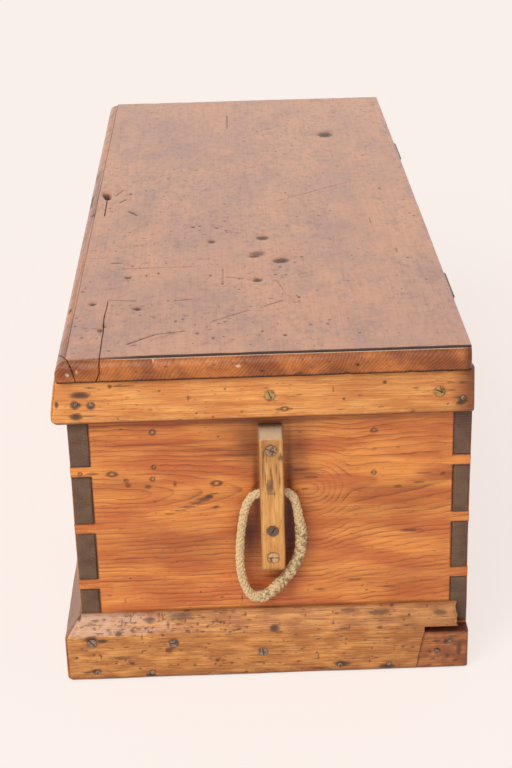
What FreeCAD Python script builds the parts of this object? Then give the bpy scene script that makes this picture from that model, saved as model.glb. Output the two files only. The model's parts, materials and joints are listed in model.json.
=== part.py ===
# Sea chest: dovetailed case, moulded lid, rope beckets on wooden cleats, butt hinges, chest lock and till.
# Frame: +Z up, X along the chest, front at -Y, origin at the middle of the footprint on the floor.
import FreeCAD, Part

import math
import os
import types

import Sketcher

# Driving dimensions in millimetres, angles in degrees
SIZES = (
    ("case_length", 1086.0),
    ("case_depth", 439.0),
    ("case_height", 370.0),
    ("front_thickness", 23.0),
    ("back_thickness", 20.0),
    ("end_thickness", 22.0),
    ("bottom_thickness", 18.0),
    ("pin_margin", 44.2),
    ("pin_shift", 1.8),
    ("pin_width", 12.0),
    ("pin_flare", 3.0),
    ("lid_thickness", 25.5),
    ("lid_gap", 0.6),
    ("lid_front_overhang", 4.5),
    ("lid_end_overhang", 1.5),
    ("lid_back_inset", 3.5),
    ("lid_edge_width", 9.5),
    ("lid_edge_step", 2.0),
    ("lid_edge_radius", 14.0),
    ("patch_length", 32.0),
    ("patch_angle", 24.0),
    ("patch_lean", 12.0),
    ("rail_height", 51.0),
    ("rail_thickness", 15.5),
    ("rail_top_thickness", 10.0),
    ("rail_nose_height", 13.0),
    ("rail_nose_radius", 8.0),
    ("plinth_height", 79.0),
    ("plinth_thickness", 18.5),
    ("plinth_bevel_height", 22.0),
    ("plinth_top_flat", 2.0),
    ("plinth_toe_radius", 5.0),
    ("plinth_patch_length", 50.0),
    ("plinth_patch_height", 50.0),
    ("plinth_patch_scarf", 10.0),
    ("plinth_break_length", 12.0),
    ("cleat_width", 26.6),
    ("cleat_thickness", 28.0),
    ("cleat_top_gap", 9.0),
    ("cleat_foot_gap", 61.0),
    ("cleat_bevel", 8.0),
    ("cleat_foot_radius", 6.0),
    ("rope_diameter", 9.5),
    ("rope_clearance", 0.75),
    ("cleat_screw_head", 12.4),
    ("cleat_screw_shank", 5.5),
    ("cleat_screw_length", 44.0),
    ("wood_screw_head", 10.6),
    ("wood_screw_shank", 4.6),
    ("wood_screw_length", 30.0),
    ("nail_head", 5.0),
    ("nail_shank", 3.0),
    ("nail_length", 34.0),
    ("small_screw_head", 6.4),
    ("small_screw_shank", 3.0),
    ("small_screw_length", 16.0),
    ("pin_nail_head", 3.2),
    ("pin_nail_shank", 1.6),
    ("pin_nail_length", 10.0),
    ("hinge_length", 76.0),
    ("hinge_spacing", 600.0),
    ("hinge_leaf_width", 18.0),
    ("hinge_leaf_thickness", 1.8),
    ("hinge_offset", 3.9),
    ("knuckle_radius", 3.5),
    ("knuckle_gap", 0.3),
    ("hinge_pin_diameter", 4.0),
    ("hinge_pin_clearance", 0.05),
    ("lock_width", 84.0),
    ("lock_height", 52.0),
    ("lock_depth", 14.0),
    ("lock_wall", 2.0),
    ("lock_drop", 2.0),
    ("lock_flange", 12.0),
    ("key_drop", 26.0),
    ("key_swing", 5.0),
    ("keyhole_radius", 4.2),
    ("keyhole_slot", 9.0),
    ("key_pin_diameter", 3.0),
    ("key_pin_length", 9.0),
    ("bolt_length", 40.0),
    ("bolt_thickness", 4.0),
    ("bolt_height", 8.4),
    ("bolt_slack", 0.3),
    ("bolt_setback", 1.5),
    ("bolt_shelf", 2.0),
    ("talon_width", 7.0),
    ("talon_depth", 3.0),
    ("staple_place", 24.0),
    ("staple_thickness", 3.0),
    ("staple_leg", 2.0),
    ("staple_slack", 0.4),
    ("staple_foot", 3.5),
    ("slot_slack", 1.2),
    ("link_plate_length", 60.0),
    ("link_plate_width", 16.0),
    ("link_plate_thickness", 2.0),
    ("escutcheon_radius", 12.0),
    ("escutcheon_thickness", 1.2),
    ("till_width", 150.0),
    ("till_height", 110.0),
    ("till_drop", 20.0),
    ("till_front_thickness", 11.0),
    ("till_bottom_thickness", 9.0),
)

PIN_STEPS = (-2, -1, 0, 1, 2)
BOTTOM_NAMES = ("bottom_board_front", "bottom_board_middle", "bottom_board_back")
KNUCKLES = 5
CASE_KNUCKLES = (0, 2, 4)
LID_KNUCKLES = (1, 3)
ALONG = FreeCAD.Vector(1, 0, 0)
BACKWARD = FreeCAD.Vector(0, 1, 0)
UP = FreeCAD.Vector(0, 0, 1)

# Turns of a piece from its own axes to the chest's
AS_DRAWN = FreeCAD.Rotation()
HALF_TURN = FreeCAD.Rotation(UP, 180)
TURN_RIGHT = FreeCAD.Rotation(UP, -90)
TURN_LEFT = FreeCAD.Rotation(UP, 90)
LIE_FORWARD = FreeCAD.Rotation(ALONG, 90)
LIE_ALONG = FreeCAD.Rotation(BACKWARD, 90)
STAND_AT_BACK = FreeCAD.Rotation(-BACKWARD, UP, -ALONG, "XYZ")

# Centre line of the right becket from the cross hole round the loop: (across, up) from the hole axis
BECKET_ROUTE = (
    (-3.0, 0.0),
    (-16.5, 0.0),
    (-27.5, -10.5),
    (-33.5, -37.0),
    (-37.0, -69.0),
    (-37.0, -97.0),
    (-31.5, -121.0),
    (-22.0, -132.5),
    (-9.0, -130.0),
    (5.0, -117.5),
    (20.0, -99.0),
    (31.0, -75.0),
    (31.8, -51.0),
    (28.8, -30.0),
    (26.3, -14.0),
    (23.0, -5.0),
    (15.5, 0.0),
    (7.0, 0.0),
)
ARC_SHARE = 0.45
BECKET_SHARE = 0.544

# Fasteners of the ends: (share of the depth from the front, share of the height of the flat, slot turn)
RIGHT_RAIL_SCREW_SPOTS = ((0.501, 0.56, 20), (0.915, 0.53, 70))
RIGHT_RAIL_NAIL_SPOTS = ((0.027, 0.51, 0), (0.066, 0.49, 0), (0.972, 0.37, 0))
LEFT_RAIL_SCREW_SPOTS = ((0.085, 0.53, 35), (0.5, 0.55, 110), (0.915, 0.53, 80))
RIGHT_PLINTH_SCREW_SPOTS = ((0.027, 0.87, 40), (0.238, 0.82, 100), (0.468, 0.55, 8))
RIGHT_PLINTH_NAIL_SPOTS = ((0.036, 0.2, 0), (0.179, 0.16, 0), (0.667, 0.18, 0), (0.795, 0.17, 0))
LEFT_PLINTH_SCREW_SPOTS = ((0.091, 0.63, 50), (0.5, 0.63, 5), (0.909, 0.63, 120))
PATCH_NAIL_SPOTS = ((0.29, 0.48, 0), (0.6, 0.76, 0))

# Fasteners of the front: (share of half the length, slot turn), and their share of the height
FRONT_RAIL_SCREW_SPOTS = ((-0.93, 15), (-0.45, 60), (0.45, 130), (0.93, 95))
FRONT_RAIL_SCREW_SHARE = 0.53
FRONT_PLINTH_SCREW_SPOTS = ((-0.92, 75), (-0.31, 20), (0.31, 160), (0.92, 45))
FRONT_PLINTH_SCREW_SHARE = 0.63

# Other fasteners: shares of the piece that they hold, and turns of their slots
CLEAT_SCREW_SPOTS = ((0.876, 65), (0.301, 150), (0.106, 88))
BACK_NAIL_SHARES = (-0.85, -0.5, -0.17, 0.17, 0.5, 0.85)
FRONT_NAIL_SHARES = (-0.7, -0.25, 0.25, 0.7)
END_NAIL_SHARE = 0.3
HINGE_SCREW_SHARES = (-0.36, 0.0, 0.36)
HINGE_CASE_SCREW_SHARE = 0.5
HINGE_LID_SCREW_SHARE = 0.62
LINK_SCREW_SHARES = (-0.36, 0.36)
ESCUTCHEON_PIN_SHARES = (-0.72, 0.72)
CASE_SLOT_TURN = 25
LID_SLOT_TURN = 70
LOCK_SLOT_TURN = 30

# Shape of a fastener: countersink and slot as shares of the head, tip as shares of the length and the shank
SINK_SHARE = 0.28
SLOT_SHARE = 0.13
TIP_SHARE = 0.15
TIP_TAPER = 0.25
CORNER_CUTTER_SPAN = 3

doc = FreeCAD.newDocument("sea_chest")
sheet = doc.addObject("Spreadsheet::Sheet", "dims")
for row, (alias, number) in enumerate(SIZES, start=1):
    sheet.set(f"A{row}", alias)
    sheet.set(f"B{row}", str(number))
    sheet.setAlias(f"B{row}", alias)
doc.recompute()


class Size:
    """A length kept both as a formula on the sheet and as its present number."""

    def __init__(self, text, value):
        self.text = text
        self.value = value

    def __add__(self, other):
        other = as_size(other)
        return Size(f"({self.text} + {other.text})", self.value + other.value)

    def __sub__(self, other):
        other = as_size(other)
        return Size(f"({self.text} - {other.text})", self.value - other.value)

    def __mul__(self, other):
        other = as_size(other)
        return Size(f"({self.text} * {other.text})", self.value * other.value)

    def __truediv__(self, other):
        other = as_size(other)
        return Size(f"({self.text} / {other.text})", self.value / other.value)

    def __neg__(self):
        return Size(f"(0 - {self.text})", -self.value)

    def root(self):
        return Size(f"sqrt({self.text})", math.sqrt(self.value))


def as_size(item):
    return item if isinstance(item, Size) else Size(f"{item}", float(item))


def vector(x, y, z):
    return FreeCAD.Vector(as_size(x).value, as_size(y).value, as_size(z).value)


dim = types.SimpleNamespace(**{alias: Size(f"dims.{alias}", float(sheet.get(alias))) for alias, _ in SIZES})

# Planes of the case
end_x = dim.case_length / 2
inner_x = end_x - dim.end_thickness
front = (dim.plinth_thickness - dim.case_depth - dim.hinge_offset - dim.knuckle_radius) / 2
back = front + dim.case_depth
middle_y = (front + back) / 2
inner_front = front + dim.front_thickness
inner_back = back - dim.back_thickness
inner_depth = inner_back - inner_front
rail_bottom = dim.case_height - dim.rail_height

# The cleats fill the end panel between the plinth and the rail, less a gap at each end
cleat_foot = dim.plinth_height + dim.cleat_foot_gap
cleat_length = rail_bottom - dim.cleat_top_gap - cleat_foot

# The outer pins of a dovetail row stand a margin in from the top and the bottom of the case
pin_pitch = (dim.case_height - dim.pin_margin * 2) / (len(PIN_STEPS) - 1)
pin_middle = dim.case_height / 2 + dim.pin_shift

# Planes of the lid, the hinge axis and the becket axis
lid_bottom = dim.case_height + dim.lid_gap
lid_front = front - dim.lid_front_overhang
lid_back = back - dim.lid_back_inset
lid_depth = lid_back - lid_front
lid_end = end_x + dim.rail_thickness + dim.lid_end_overhang
lid_length = lid_end * 2
hinge_y = back + dim.hinge_offset
hinge_z = dim.case_height + dim.lid_gap / 2
becket_x = end_x + dim.cleat_thickness / 2
becket_z = cleat_foot + cleat_length * BECKET_SHARE

# Slope of the rail's face
rail_slope = (dim.rail_thickness - dim.rail_top_thickness) / (dim.rail_height - dim.rail_nose_height)
rail_lean = math.degrees(math.atan(rail_slope.value))


def bind(item, **sizes):
    for name, value in sizes.items():
        item.setExpression(name, as_size(value).text)


def place(item, x, y, z, turn=AS_DRAWN):
    item.Placement = FreeCAD.Placement(FreeCAD.Vector(), turn)
    for name, value in (("x", x), ("y", y), ("z", z)):
        item.setExpression(f"Placement.Base.{name}", as_size(value).text)
    return item


def add(kind, label):
    item = doc.addObject(kind, label)
    item.Label = label
    return item


def box(label, x, y, z, length, width, height):
    item = add("Part::Box", label)
    bind(item, Length=length, Width=width, Height=height)
    return place(item, x, y, z)


def cylinder(label, x, y, z, radius, height, turn=AS_DRAWN):
    item = add("Part::Cylinder", label)
    bind(item, Radius=radius, Height=height)
    return place(item, x, y, z, turn)


def wedge(label, low, high, low_far, high_far, across, up, up_far):
    """A prism whose X and Z spans change evenly from Y = 0 to Y = across."""
    item = add("Part::Wedge", label)
    bind(item, Xmin=low, Xmax=high, X2min=low_far, X2max=high_far, Ymin=0, Ymax=across)
    bind(item, Zmin=up[0], Zmax=up[1], Z2min=up_far[0], Z2max=up_far[1])
    return item


def fuse(label, items):
    item = add("Part::MultiFuse", label)
    item.Shapes = items
    item.Refine = True
    return item


def cut(label, base, tools):
    tool = tools[0]
    if len(tools) > 1:
        tool = add("Part::Compound", f"{label}_tools")
        tool.Links = tools
    item = add("Part::Cut", label)
    item.Base = base
    item.Tool = tool
    return item


def common(label, first, second):
    item = add("Part::Common", label)
    item.Base = first
    item.Tool = second
    return item


def arc_middle(start, end, radius):
    """Middle point of the arc that turns left from start to end."""
    chord = end - start
    half = chord.Length / 2
    inward = FreeCAD.Vector(-chord.y, chord.x, 0).normalize()
    centre = start + chord * 0.5 + inward * math.sqrt(radius * radius - half * half)
    return centre - inward * radius


def draw(sketch, outline):
    """Closed outline, anticlockwise: each corner is (across, up), then the radius if an arc follows it."""
    corners = [vector(corner[0], corner[1], 0) for corner in outline]
    count = len(outline)
    for index, corner in enumerate(outline):
        start = corners[index]
        end = corners[(index + 1) % count]
        if len(corner) > 2:
            bend = Part.Arc(start, arc_middle(start, end, corner[2].value), end)
            sketch.addGeometry(bend)
        else:
            sketch.addGeometry(Part.LineSegment(start, end))
    for index, corner in enumerate(outline):
        sketch.addConstraint(Sketcher.Constraint("Coincident", index, 2, (index + 1) % count, 1))
        for kind, value in (("DistanceX", corner[0]), ("DistanceY", corner[1])):
            value = as_size(value)
            held = Sketcher.Constraint(kind, -1, 1, index, 1, value.value)
            sketch.setExpression(f"Constraints[{sketch.addConstraint(held)}]", value.text)
        if len(corner) > 2:
            held = Sketcher.Constraint("Radius", index, corner[2].value)
            sketch.setExpression(f"Constraints[{sketch.addConstraint(held)}]", corner[2].text)


def padded(label, outline, run):
    """A body whose outline stands in its YZ plane and runs along its X axis."""
    body = add("PartDesign::Body", label)
    sketch = body.newObject("Sketcher::SketchObject", f"{label}_outline")
    plane = [origin for origin in body.Origin.OriginFeatures if origin.Role == "YZ_Plane"][0]
    sketch.AttachmentSupport = [(plane, "")]
    sketch.MapMode = "FlatFace"
    draw(sketch, outline)
    pad = body.newObject("PartDesign::Pad", f"{label}_pad")
    pad.Profile = sketch
    bind(pad, Length=run)
    doc.recompute()
    return body


# Case: the end boards carry the pins, the front and back boards are cut by the same pins
def pin_row(side, turn, base_x, base_y):
    half = dim.pin_width / 2
    foot = half + dim.pin_flare
    row = []
    for index, step in enumerate(PIN_STEPS):
        pin = wedge(f"{side}_pin_{index}", 0, dim.case_depth, 0, dim.case_depth, dim.end_thickness,
                    (-foot, foot), (-half, half))
        height = pin_middle + pin_pitch * step
        row.append(place(pin, base_x, base_y, height, turn))
    return row


right_pins = pin_row("right", TURN_RIGHT, inner_x, back)
left_pins = pin_row("left", TURN_LEFT, -inner_x, front)


def end_board(label, low_x, pins):
    core = box(f"{label}_core", low_x, inner_front, 0, dim.end_thickness, inner_depth, dim.case_height)
    return fuse(f"{label}_pinned", [core] + pins)


def tail_board(label, low_y, thickness):
    blank = box(f"{label}_blank", -end_x, low_y, 0, dim.case_length, thickness, dim.case_height)
    return cut(f"{label}_tailed", blank, right_pins + left_pins)


right_end = end_board("right_end_board", inner_x, right_pins)
left_end = end_board("left_end_board", -end_x, left_pins)
front_board = tail_board("front_board", front, dim.front_thickness)
back_board = tail_board("back_board", inner_back, dim.back_thickness)

bottom_width = inner_depth / len(BOTTOM_NAMES)
bottom_boards = []
for index, name in enumerate(BOTTOM_NAMES):
    low_y = inner_front + bottom_width * index
    blank = box(f"{name}_blank", -inner_x, low_y, 0, inner_x * 2, bottom_width, dim.bottom_thickness)
    bottom_boards.append(blank)


# Rails and plinth: one moulded bar each, cut to its mitres by a wedge
def mitred(label, outline, run, mitres, thickness, height, spot, turn):
    lead = thickness * mitres[0]
    total = run + thickness * sum(mitres)
    bar = place(padded(f"{label}_bar", outline, total), *spot, turn)
    plan = wedge(f"{label}_mitres", lead, lead + run, 0, total, thickness, (0, height), (0, height))
    return common(label, bar, place(plan, *spot, turn))


def three_sides(name, outline, thickness, height, low_z):
    depth = dim.case_depth
    front_bar = mitred(f"front_{name}_blank", outline, dim.case_length, (1, 1), thickness, height,
                       (end_x + thickness, front, low_z), HALF_TURN)
    right_bar = mitred(f"right_{name}_blank", outline, depth, (0, 1), thickness, height,
                       (end_x, back, low_z), TURN_RIGHT)
    left_bar = mitred(f"left_{name}_blank", outline, depth, (1, 0), thickness, height,
                      (-end_x, front - thickness, low_z), TURN_LEFT)
    return front_bar, right_bar, left_bar


rail_nose = dim.rail_nose_radius
rail_outline = (
    (0, 0),
    (dim.rail_thickness - rail_nose, 0, rail_nose),
    (dim.rail_thickness, rail_nose),
    (dim.rail_thickness, dim.rail_nose_height),
    (dim.rail_top_thickness, dim.rail_height),
    (0, dim.rail_height),
)
toe = dim.plinth_toe_radius
bevel_foot = dim.plinth_height - dim.plinth_bevel_height
plinth_outline = (
    (0, 0),
    (dim.plinth_thickness - toe, 0, toe),
    (dim.plinth_thickness, toe),
    (dim.plinth_thickness, bevel_foot),
    (dim.plinth_top_flat, dim.plinth_height),
    (0, dim.plinth_height),
)
front_rail, right_rail, left_rail = three_sides("rail", rail_outline, dim.rail_thickness,
                                                dim.rail_height, rail_bottom)
front_plinth, right_plinth, left_plinth = three_sides("plinth", plinth_outline, dim.plinth_thickness,
                                                      dim.plinth_height, 0)

# Patch let into the back end of the right plinth with a slanting scarf, and the break in the bevel above it
patch_front = back - dim.plinth_patch_length
patch_block = wedge("plinth_patch_block", 0, dim.plinth_patch_length + dim.plinth_patch_scarf,
                    0, dim.plinth_patch_length, dim.plinth_patch_height, (0, dim.plinth_thickness),
                    (0, dim.plinth_thickness))
place(patch_block, end_x + dim.plinth_thickness, back, 0, STAND_AT_BACK)
patch_gap = box("plinth_patch_gap", end_x, patch_front, dim.plinth_patch_height, dim.plinth_thickness,
                dim.plinth_patch_length, bevel_foot - dim.plinth_patch_height)
bevel_break = box("plinth_bevel_break", end_x, back - dim.plinth_break_length, bevel_foot,
                  dim.plinth_thickness, dim.plinth_break_length, dim.plinth_bevel_height)
plinth_patch = common("right_plinth_patch_blank", right_plinth, patch_block)
right_plinth_cut = cut("right_plinth_scarfed", right_plinth, [patch_block, patch_gap, bevel_break])


# Cleats: an oak block with a sloped top, a rounded foot and a cross hole for the rope
def cleat(side, sign, turn):
    foot = dim.cleat_foot_radius
    outline = (
        (0, 0),
        (dim.cleat_thickness - foot, 0, foot),
        (dim.cleat_thickness, foot),
        (dim.cleat_thickness, cleat_length - dim.cleat_bevel),
        (0, cleat_length),
    )
    half = dim.cleat_width / 2
    block = padded(f"{side}_cleat_block", outline, dim.cleat_width)
    place(block, end_x * sign, middle_y + half * sign, cleat_foot, turn)
    hole = cylinder(f"{side}_cleat_hole", becket_x * sign, middle_y + half, becket_z,
                    dim.rope_diameter / 2 + dim.rope_clearance, dim.cleat_width, LIE_FORWARD)
    return cut(f"{side}_cleat_holed", block, [hole])


right_cleat = cleat("right", 1, TURN_RIGHT)
left_cleat = cleat("left", -1, TURN_LEFT)

# Lid: the front moulding and the end mouldings meet in mitres, then the broken corner is split off
edge_level = dim.lid_edge_radius - dim.lid_edge_width
edge_rise = (dim.lid_edge_radius * dim.lid_edge_radius - edge_level * edge_level).root()
edge_top = dim.lid_thickness - dim.lid_edge_step
edge_foot = edge_top - edge_rise
lid_side_outline = (
    (0, 0),
    (lid_depth, 0),
    (lid_depth, dim.lid_thickness),
    (dim.lid_edge_width, dim.lid_thickness),
    (dim.lid_edge_width, edge_top, dim.lid_edge_radius),
    (0, edge_foot),
)
lid_end_outline = (
    (0, 0),
    (lid_length, 0),
    (lid_length, edge_foot, dim.lid_edge_radius),
    (lid_length - dim.lid_edge_width, edge_top),
    (lid_length - dim.lid_edge_width, dim.lid_thickness),
    (dim.lid_edge_width, dim.lid_thickness),
    (dim.lid_edge_width, edge_top, dim.lid_edge_radius),
    (0, edge_foot),
)
lid_run = place(padded("lid_run", lid_side_outline, lid_length), -lid_end, lid_front, lid_bottom)
lid_cross = padded("lid_cross", lid_end_outline, lid_depth)
place(lid_cross, -lid_end, lid_back, lid_bottom, TURN_RIGHT)
lid_blank = common("lid_blank", lid_run, lid_cross)
corner_cutter = add("Part::Box", "lid_corner_cutter")
corner_reach = dim.patch_length * CORNER_CUTTER_SPAN
corner_sink = dim.lid_thickness * CORNER_CUTTER_SPAN
bind(corner_cutter, Length=corner_reach, Width=corner_reach, Height=corner_sink * 2)
corner_spot = vector(lid_end - dim.patch_length, lid_front, lid_bottom + dim.lid_thickness)
corner_turn = FreeCAD.Rotation(UP, dim.patch_angle.value) * FreeCAD.Rotation(ALONG, dim.patch_lean.value)
corner_shift = FreeCAD.Placement(vector(-dim.patch_length, -corner_reach, -corner_sink), AS_DRAWN)
corner_cutter.Placement = FreeCAD.Placement(corner_spot, corner_turn) * corner_shift
lid_patch = common("lid_corner_patch", lid_blank, corner_cutter)


# Butt hinges: leaves let into the back board's top edge and the lid, knuckles behind the case
def hinge_leaf(label, low_x, low_z, own, bore_radius):
    pitch = (dim.hinge_length + dim.knuckle_gap) / KNUCKLES
    pieces = [box(f"{label}_plate", low_x, back - dim.hinge_leaf_width, low_z, dim.hinge_length,
                  dim.hinge_leaf_width, dim.hinge_leaf_thickness)]
    for index in own:
        start = low_x + pitch * index
        pieces.append(box(f"{label}_tab_{index}", start, back, low_z, pitch - dim.knuckle_gap,
                          dim.hinge_offset, dim.hinge_leaf_thickness))
        pieces.append(cylinder(f"{label}_knuckle_{index}", start, hinge_y, hinge_z, dim.knuckle_radius,
                               pitch - dim.knuckle_gap, LIE_ALONG))
    bore = cylinder(f"{label}_bore", low_x, hinge_y, hinge_z, bore_radius, dim.hinge_length, LIE_ALONG)
    return cut(f"{label}_bored", fuse(f"{label}_blank", pieces), [bore])


def hinge(side, centre):
    low_x = centre - dim.hinge_length / 2
    case_low = dim.case_height - dim.hinge_leaf_thickness
    pin_radius = dim.hinge_pin_diameter / 2
    return types.SimpleNamespace(
        case_leaf=hinge_leaf(f"{side}_hinge_case_leaf", low_x, case_low, CASE_KNUCKLES, pin_radius),
        lid_leaf=hinge_leaf(f"{side}_hinge_lid_leaf", low_x, lid_bottom, LID_KNUCKLES,
                            pin_radius + dim.hinge_pin_clearance),
        pin=cylinder(f"{side}_hinge_pin", low_x, hinge_y, hinge_z, pin_radius, dim.hinge_length, LIE_ALONG),
        case_recess=box(f"{side}_hinge_case_recess", low_x, back - dim.hinge_leaf_width, case_low,
                        dim.hinge_length, dim.hinge_leaf_width, dim.hinge_leaf_thickness),
        lid_recess=box(f"{side}_hinge_lid_recess", low_x, back - dim.hinge_leaf_width, lid_bottom,
                       dim.hinge_length, dim.hinge_leaf_width, dim.hinge_leaf_thickness),
        centre=centre)


right_hinge = hinge("right", dim.hinge_spacing / 2)
left_hinge = hinge("left", -dim.hinge_spacing / 2)

# Chest lock: an open-backed case on the front board, a sliding bolt and a staple on the lid
lock_top = dim.case_height - dim.lock_drop
lock_low = lock_top - dim.lock_height
lock_half = dim.lock_width / 2
cavity_depth = dim.lock_depth - dim.lock_wall
cavity_top = lock_top - dim.lock_wall
bolt_high = cavity_top - dim.bolt_slack
bolt_low = bolt_high - dim.bolt_height
bolt_y = inner_front + cavity_depth / 2
bolt_tip = dim.staple_place - dim.staple_thickness / 2 - dim.bolt_setback
staple_half = dim.bolt_thickness / 2 + dim.staple_slack + dim.staple_leg
key_z = dim.case_height - dim.key_drop
flange_x = lock_half + dim.lock_flange

lock_cup = box("lock_cup", -lock_half, inner_front, lock_low,
               dim.lock_width, dim.lock_depth, dim.lock_height)
lock_plate = box("lock_plate", -flange_x, inner_front, lock_low,
                 flange_x * 2, dim.lock_wall, dim.lock_height)
lock_cavity = box("lock_cavity", dim.lock_wall - lock_half, inner_front, lock_low + dim.lock_wall,
                  dim.lock_width - dim.lock_wall * 2, cavity_depth, dim.lock_height - dim.lock_wall * 2)
slot_half = staple_half + dim.slot_slack
lock_slot = box("lock_slot", dim.staple_place - dim.staple_thickness / 2 - dim.slot_slack,
                bolt_y - slot_half, cavity_top,
                dim.staple_thickness + dim.slot_slack * 2, slot_half * 2, dim.lock_wall)
lock_shell = cut("lock_shell", fuse("lock_blank", [lock_cup, lock_plate]), [lock_cavity, lock_slot])
shelf_low = bolt_low - dim.bolt_slack - dim.bolt_shelf
bolt_shelf = box("lock_shelf", dim.lock_wall - lock_half, inner_front, shelf_low,
                 lock_half - dim.lock_wall - dim.key_swing, cavity_depth, dim.bolt_shelf)
key_pin = cylinder("lock_key_pin", 0, inner_front + cavity_depth, key_z, dim.key_pin_diameter / 2,
                   dim.key_pin_length, LIE_FORWARD)
lock_case = fuse("lock_case_blank", [lock_shell, bolt_shelf, key_pin])

bolt_bar = box("lock_bolt_bar", bolt_tip - dim.bolt_length, bolt_y - dim.bolt_thickness / 2, bolt_low,
               dim.bolt_length, dim.bolt_thickness, dim.bolt_height)
talon = box("lock_bolt_talon", 0, bolt_y - dim.bolt_thickness / 2, bolt_low, dim.talon_width,
            dim.bolt_thickness, dim.talon_depth)
lock_bolt = cut("lock_bolt", bolt_bar, [talon])

staple_low = bolt_low - dim.staple_slack - dim.staple_foot
staple = box("staple", dim.staple_place - dim.staple_thickness / 2, bolt_y - staple_half, staple_low,
             dim.staple_thickness, staple_half * 2, lid_bottom - staple_low)
link_plate, link_recess = [
    box(name, dim.staple_place - dim.link_plate_length / 2, bolt_y - dim.link_plate_width / 2, lid_bottom,
        dim.link_plate_length, dim.link_plate_width, dim.link_plate_thickness)
    for name in ("link_plate_blank", "link_plate_recess")
]
staple_window = box("staple_window", dim.staple_place - dim.staple_thickness / 2,
                    bolt_y - dim.bolt_thickness / 2 - dim.staple_slack, bolt_low - dim.staple_slack,
                    dim.staple_thickness, dim.bolt_thickness + dim.staple_slack * 2,
                    dim.bolt_height + dim.staple_slack * 2)
link = cut("link_plate_windowed", fuse("link_plate_stapled", [link_plate, staple]), [staple_window])

# Keyhole through the front rail and board, and a round escutcheon on the rail's sloping face
keyhole_y = front - dim.rail_thickness - dim.escutcheon_thickness * 2
keyhole_run = inner_front - keyhole_y
keyhole_eye = cylinder("keyhole_eye", 0, inner_front, key_z, dim.keyhole_radius, keyhole_run, LIE_FORWARD)
keyhole_leg = box("keyhole_leg", -dim.keyhole_radius / 2, keyhole_y, key_z - dim.keyhole_slot,
                  dim.keyhole_radius, keyhole_run, dim.keyhole_slot)
keyhole = fuse("keyhole", [keyhole_eye, keyhole_leg])


def rail_depth(height):
    """How far the rail's sloping face stands off the case at a height above the floor."""
    return dim.rail_thickness - (height - rail_bottom - dim.rail_nose_height) * rail_slope


escutcheon_plate = cylinder("escutcheon_plate", 0, front - rail_depth(key_z), key_z, dim.escutcheon_radius,
                            dim.escutcheon_thickness, FreeCAD.Rotation(ALONG, 90 - rail_lean))
escutcheon_plate.setExpression("Placement.Rotation.Angle", f"90 deg - atan({rail_slope.text})")

# Till: an open tray across the left end
till_top = dim.case_height - dim.till_drop
till_low = till_top - dim.till_height
till_x = dim.till_width - inner_x
till_front = box("till_front", till_x, inner_front, till_low,
                 dim.till_front_thickness, inner_depth, dim.till_height)
till_bottom = box("till_bottom", -inner_x, inner_front, till_low,
                  dim.till_width, inner_depth, dim.till_bottom_thickness)

# Fasteners: each kind is (head, shank, length, slotted)
CLEAT_SCREW = (dim.cleat_screw_head, dim.cleat_screw_shank, dim.cleat_screw_length, True)
WOOD_SCREW = (dim.wood_screw_head, dim.wood_screw_shank, dim.wood_screw_length, True)
SMALL_SCREW = (dim.small_screw_head, dim.small_screw_shank, dim.small_screw_length, True)
NAIL = (dim.nail_head, dim.nail_shank, dim.nail_length, False)
PIN_NAIL = (dim.pin_nail_head, dim.pin_nail_shank, dim.pin_nail_length, False)
nodes = []


def fastener(kind, slotted):
    """One fastener with the top of its head at the origin, pointing down."""
    head, shank, length = [item.value for item in kind[:3]]
    sink = head * SINK_SHARE
    tip = length * TIP_SHARE
    down = -UP
    solid = Part.makeCone(head / 2, shank / 2, sink, FreeCAD.Vector(), down)
    solid = solid.fuse([
        Part.makeCylinder(shank / 2, length - sink - tip, UP * -sink, down),
        Part.makeCone(shank / 2, shank / 2 * TIP_TAPER, tip, UP * (tip - length), down),
    ]).removeSplitter()
    if slotted:
        width = head * SLOT_SHARE
        corner = FreeCAD.Vector(-head, -width / 2, -sink / 2)
        solid = solid.cut(Part.makeBox(head * 2, width, sink, corner))
    return solid


def fasteners(label, kind, spots):
    """Like fasteners as one node, and the holes that they fill; a spot is (place, way out, slot turn)."""
    group = add("Part::Feature", label)
    holes = add("Part::Feature", f"{label}_holes")
    for feature, slotted in ((group, kind[3]), (holes, False)):
        shape = fastener(kind, slotted)
        copies = []
        for spot, outward, turn in spots:
            copy = shape.copy()
            stand = FreeCAD.Rotation(UP, outward) * FreeCAD.Rotation(UP, turn)
            copy.Placement = FreeCAD.Placement(spot, stand)
            copies.append(copy)
        feature.Shape = Part.makeCompound(copies)
    nodes.append(group)
    return holes


def rail_way(sideways):
    """Way out of the rail's sloping face on the side that sideways points to."""
    angle = math.radians(rail_lean)
    return sideways * math.cos(angle) + UP * math.sin(angle)


def end_rail_spots(sign, places):
    spots = []
    for along, rise, turn in places:
        height = rail_bottom + dim.rail_height * rise
        spot = vector((end_x + rail_depth(height)) * sign, front + dim.case_depth * along, height)
        spots.append((spot, rail_way(ALONG * sign), turn))
    return spots


def end_plinth_spots(sign, places, low_y, length, height):
    face = (end_x + dim.plinth_thickness) * sign
    return [(vector(face, low_y + length * along, height * rise), ALONG * sign, turn)
            for along, rise, turn in places]


def end_flat_spots(sign, places):
    return end_plinth_spots(sign, places, front, dim.case_depth, bevel_foot)


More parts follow.
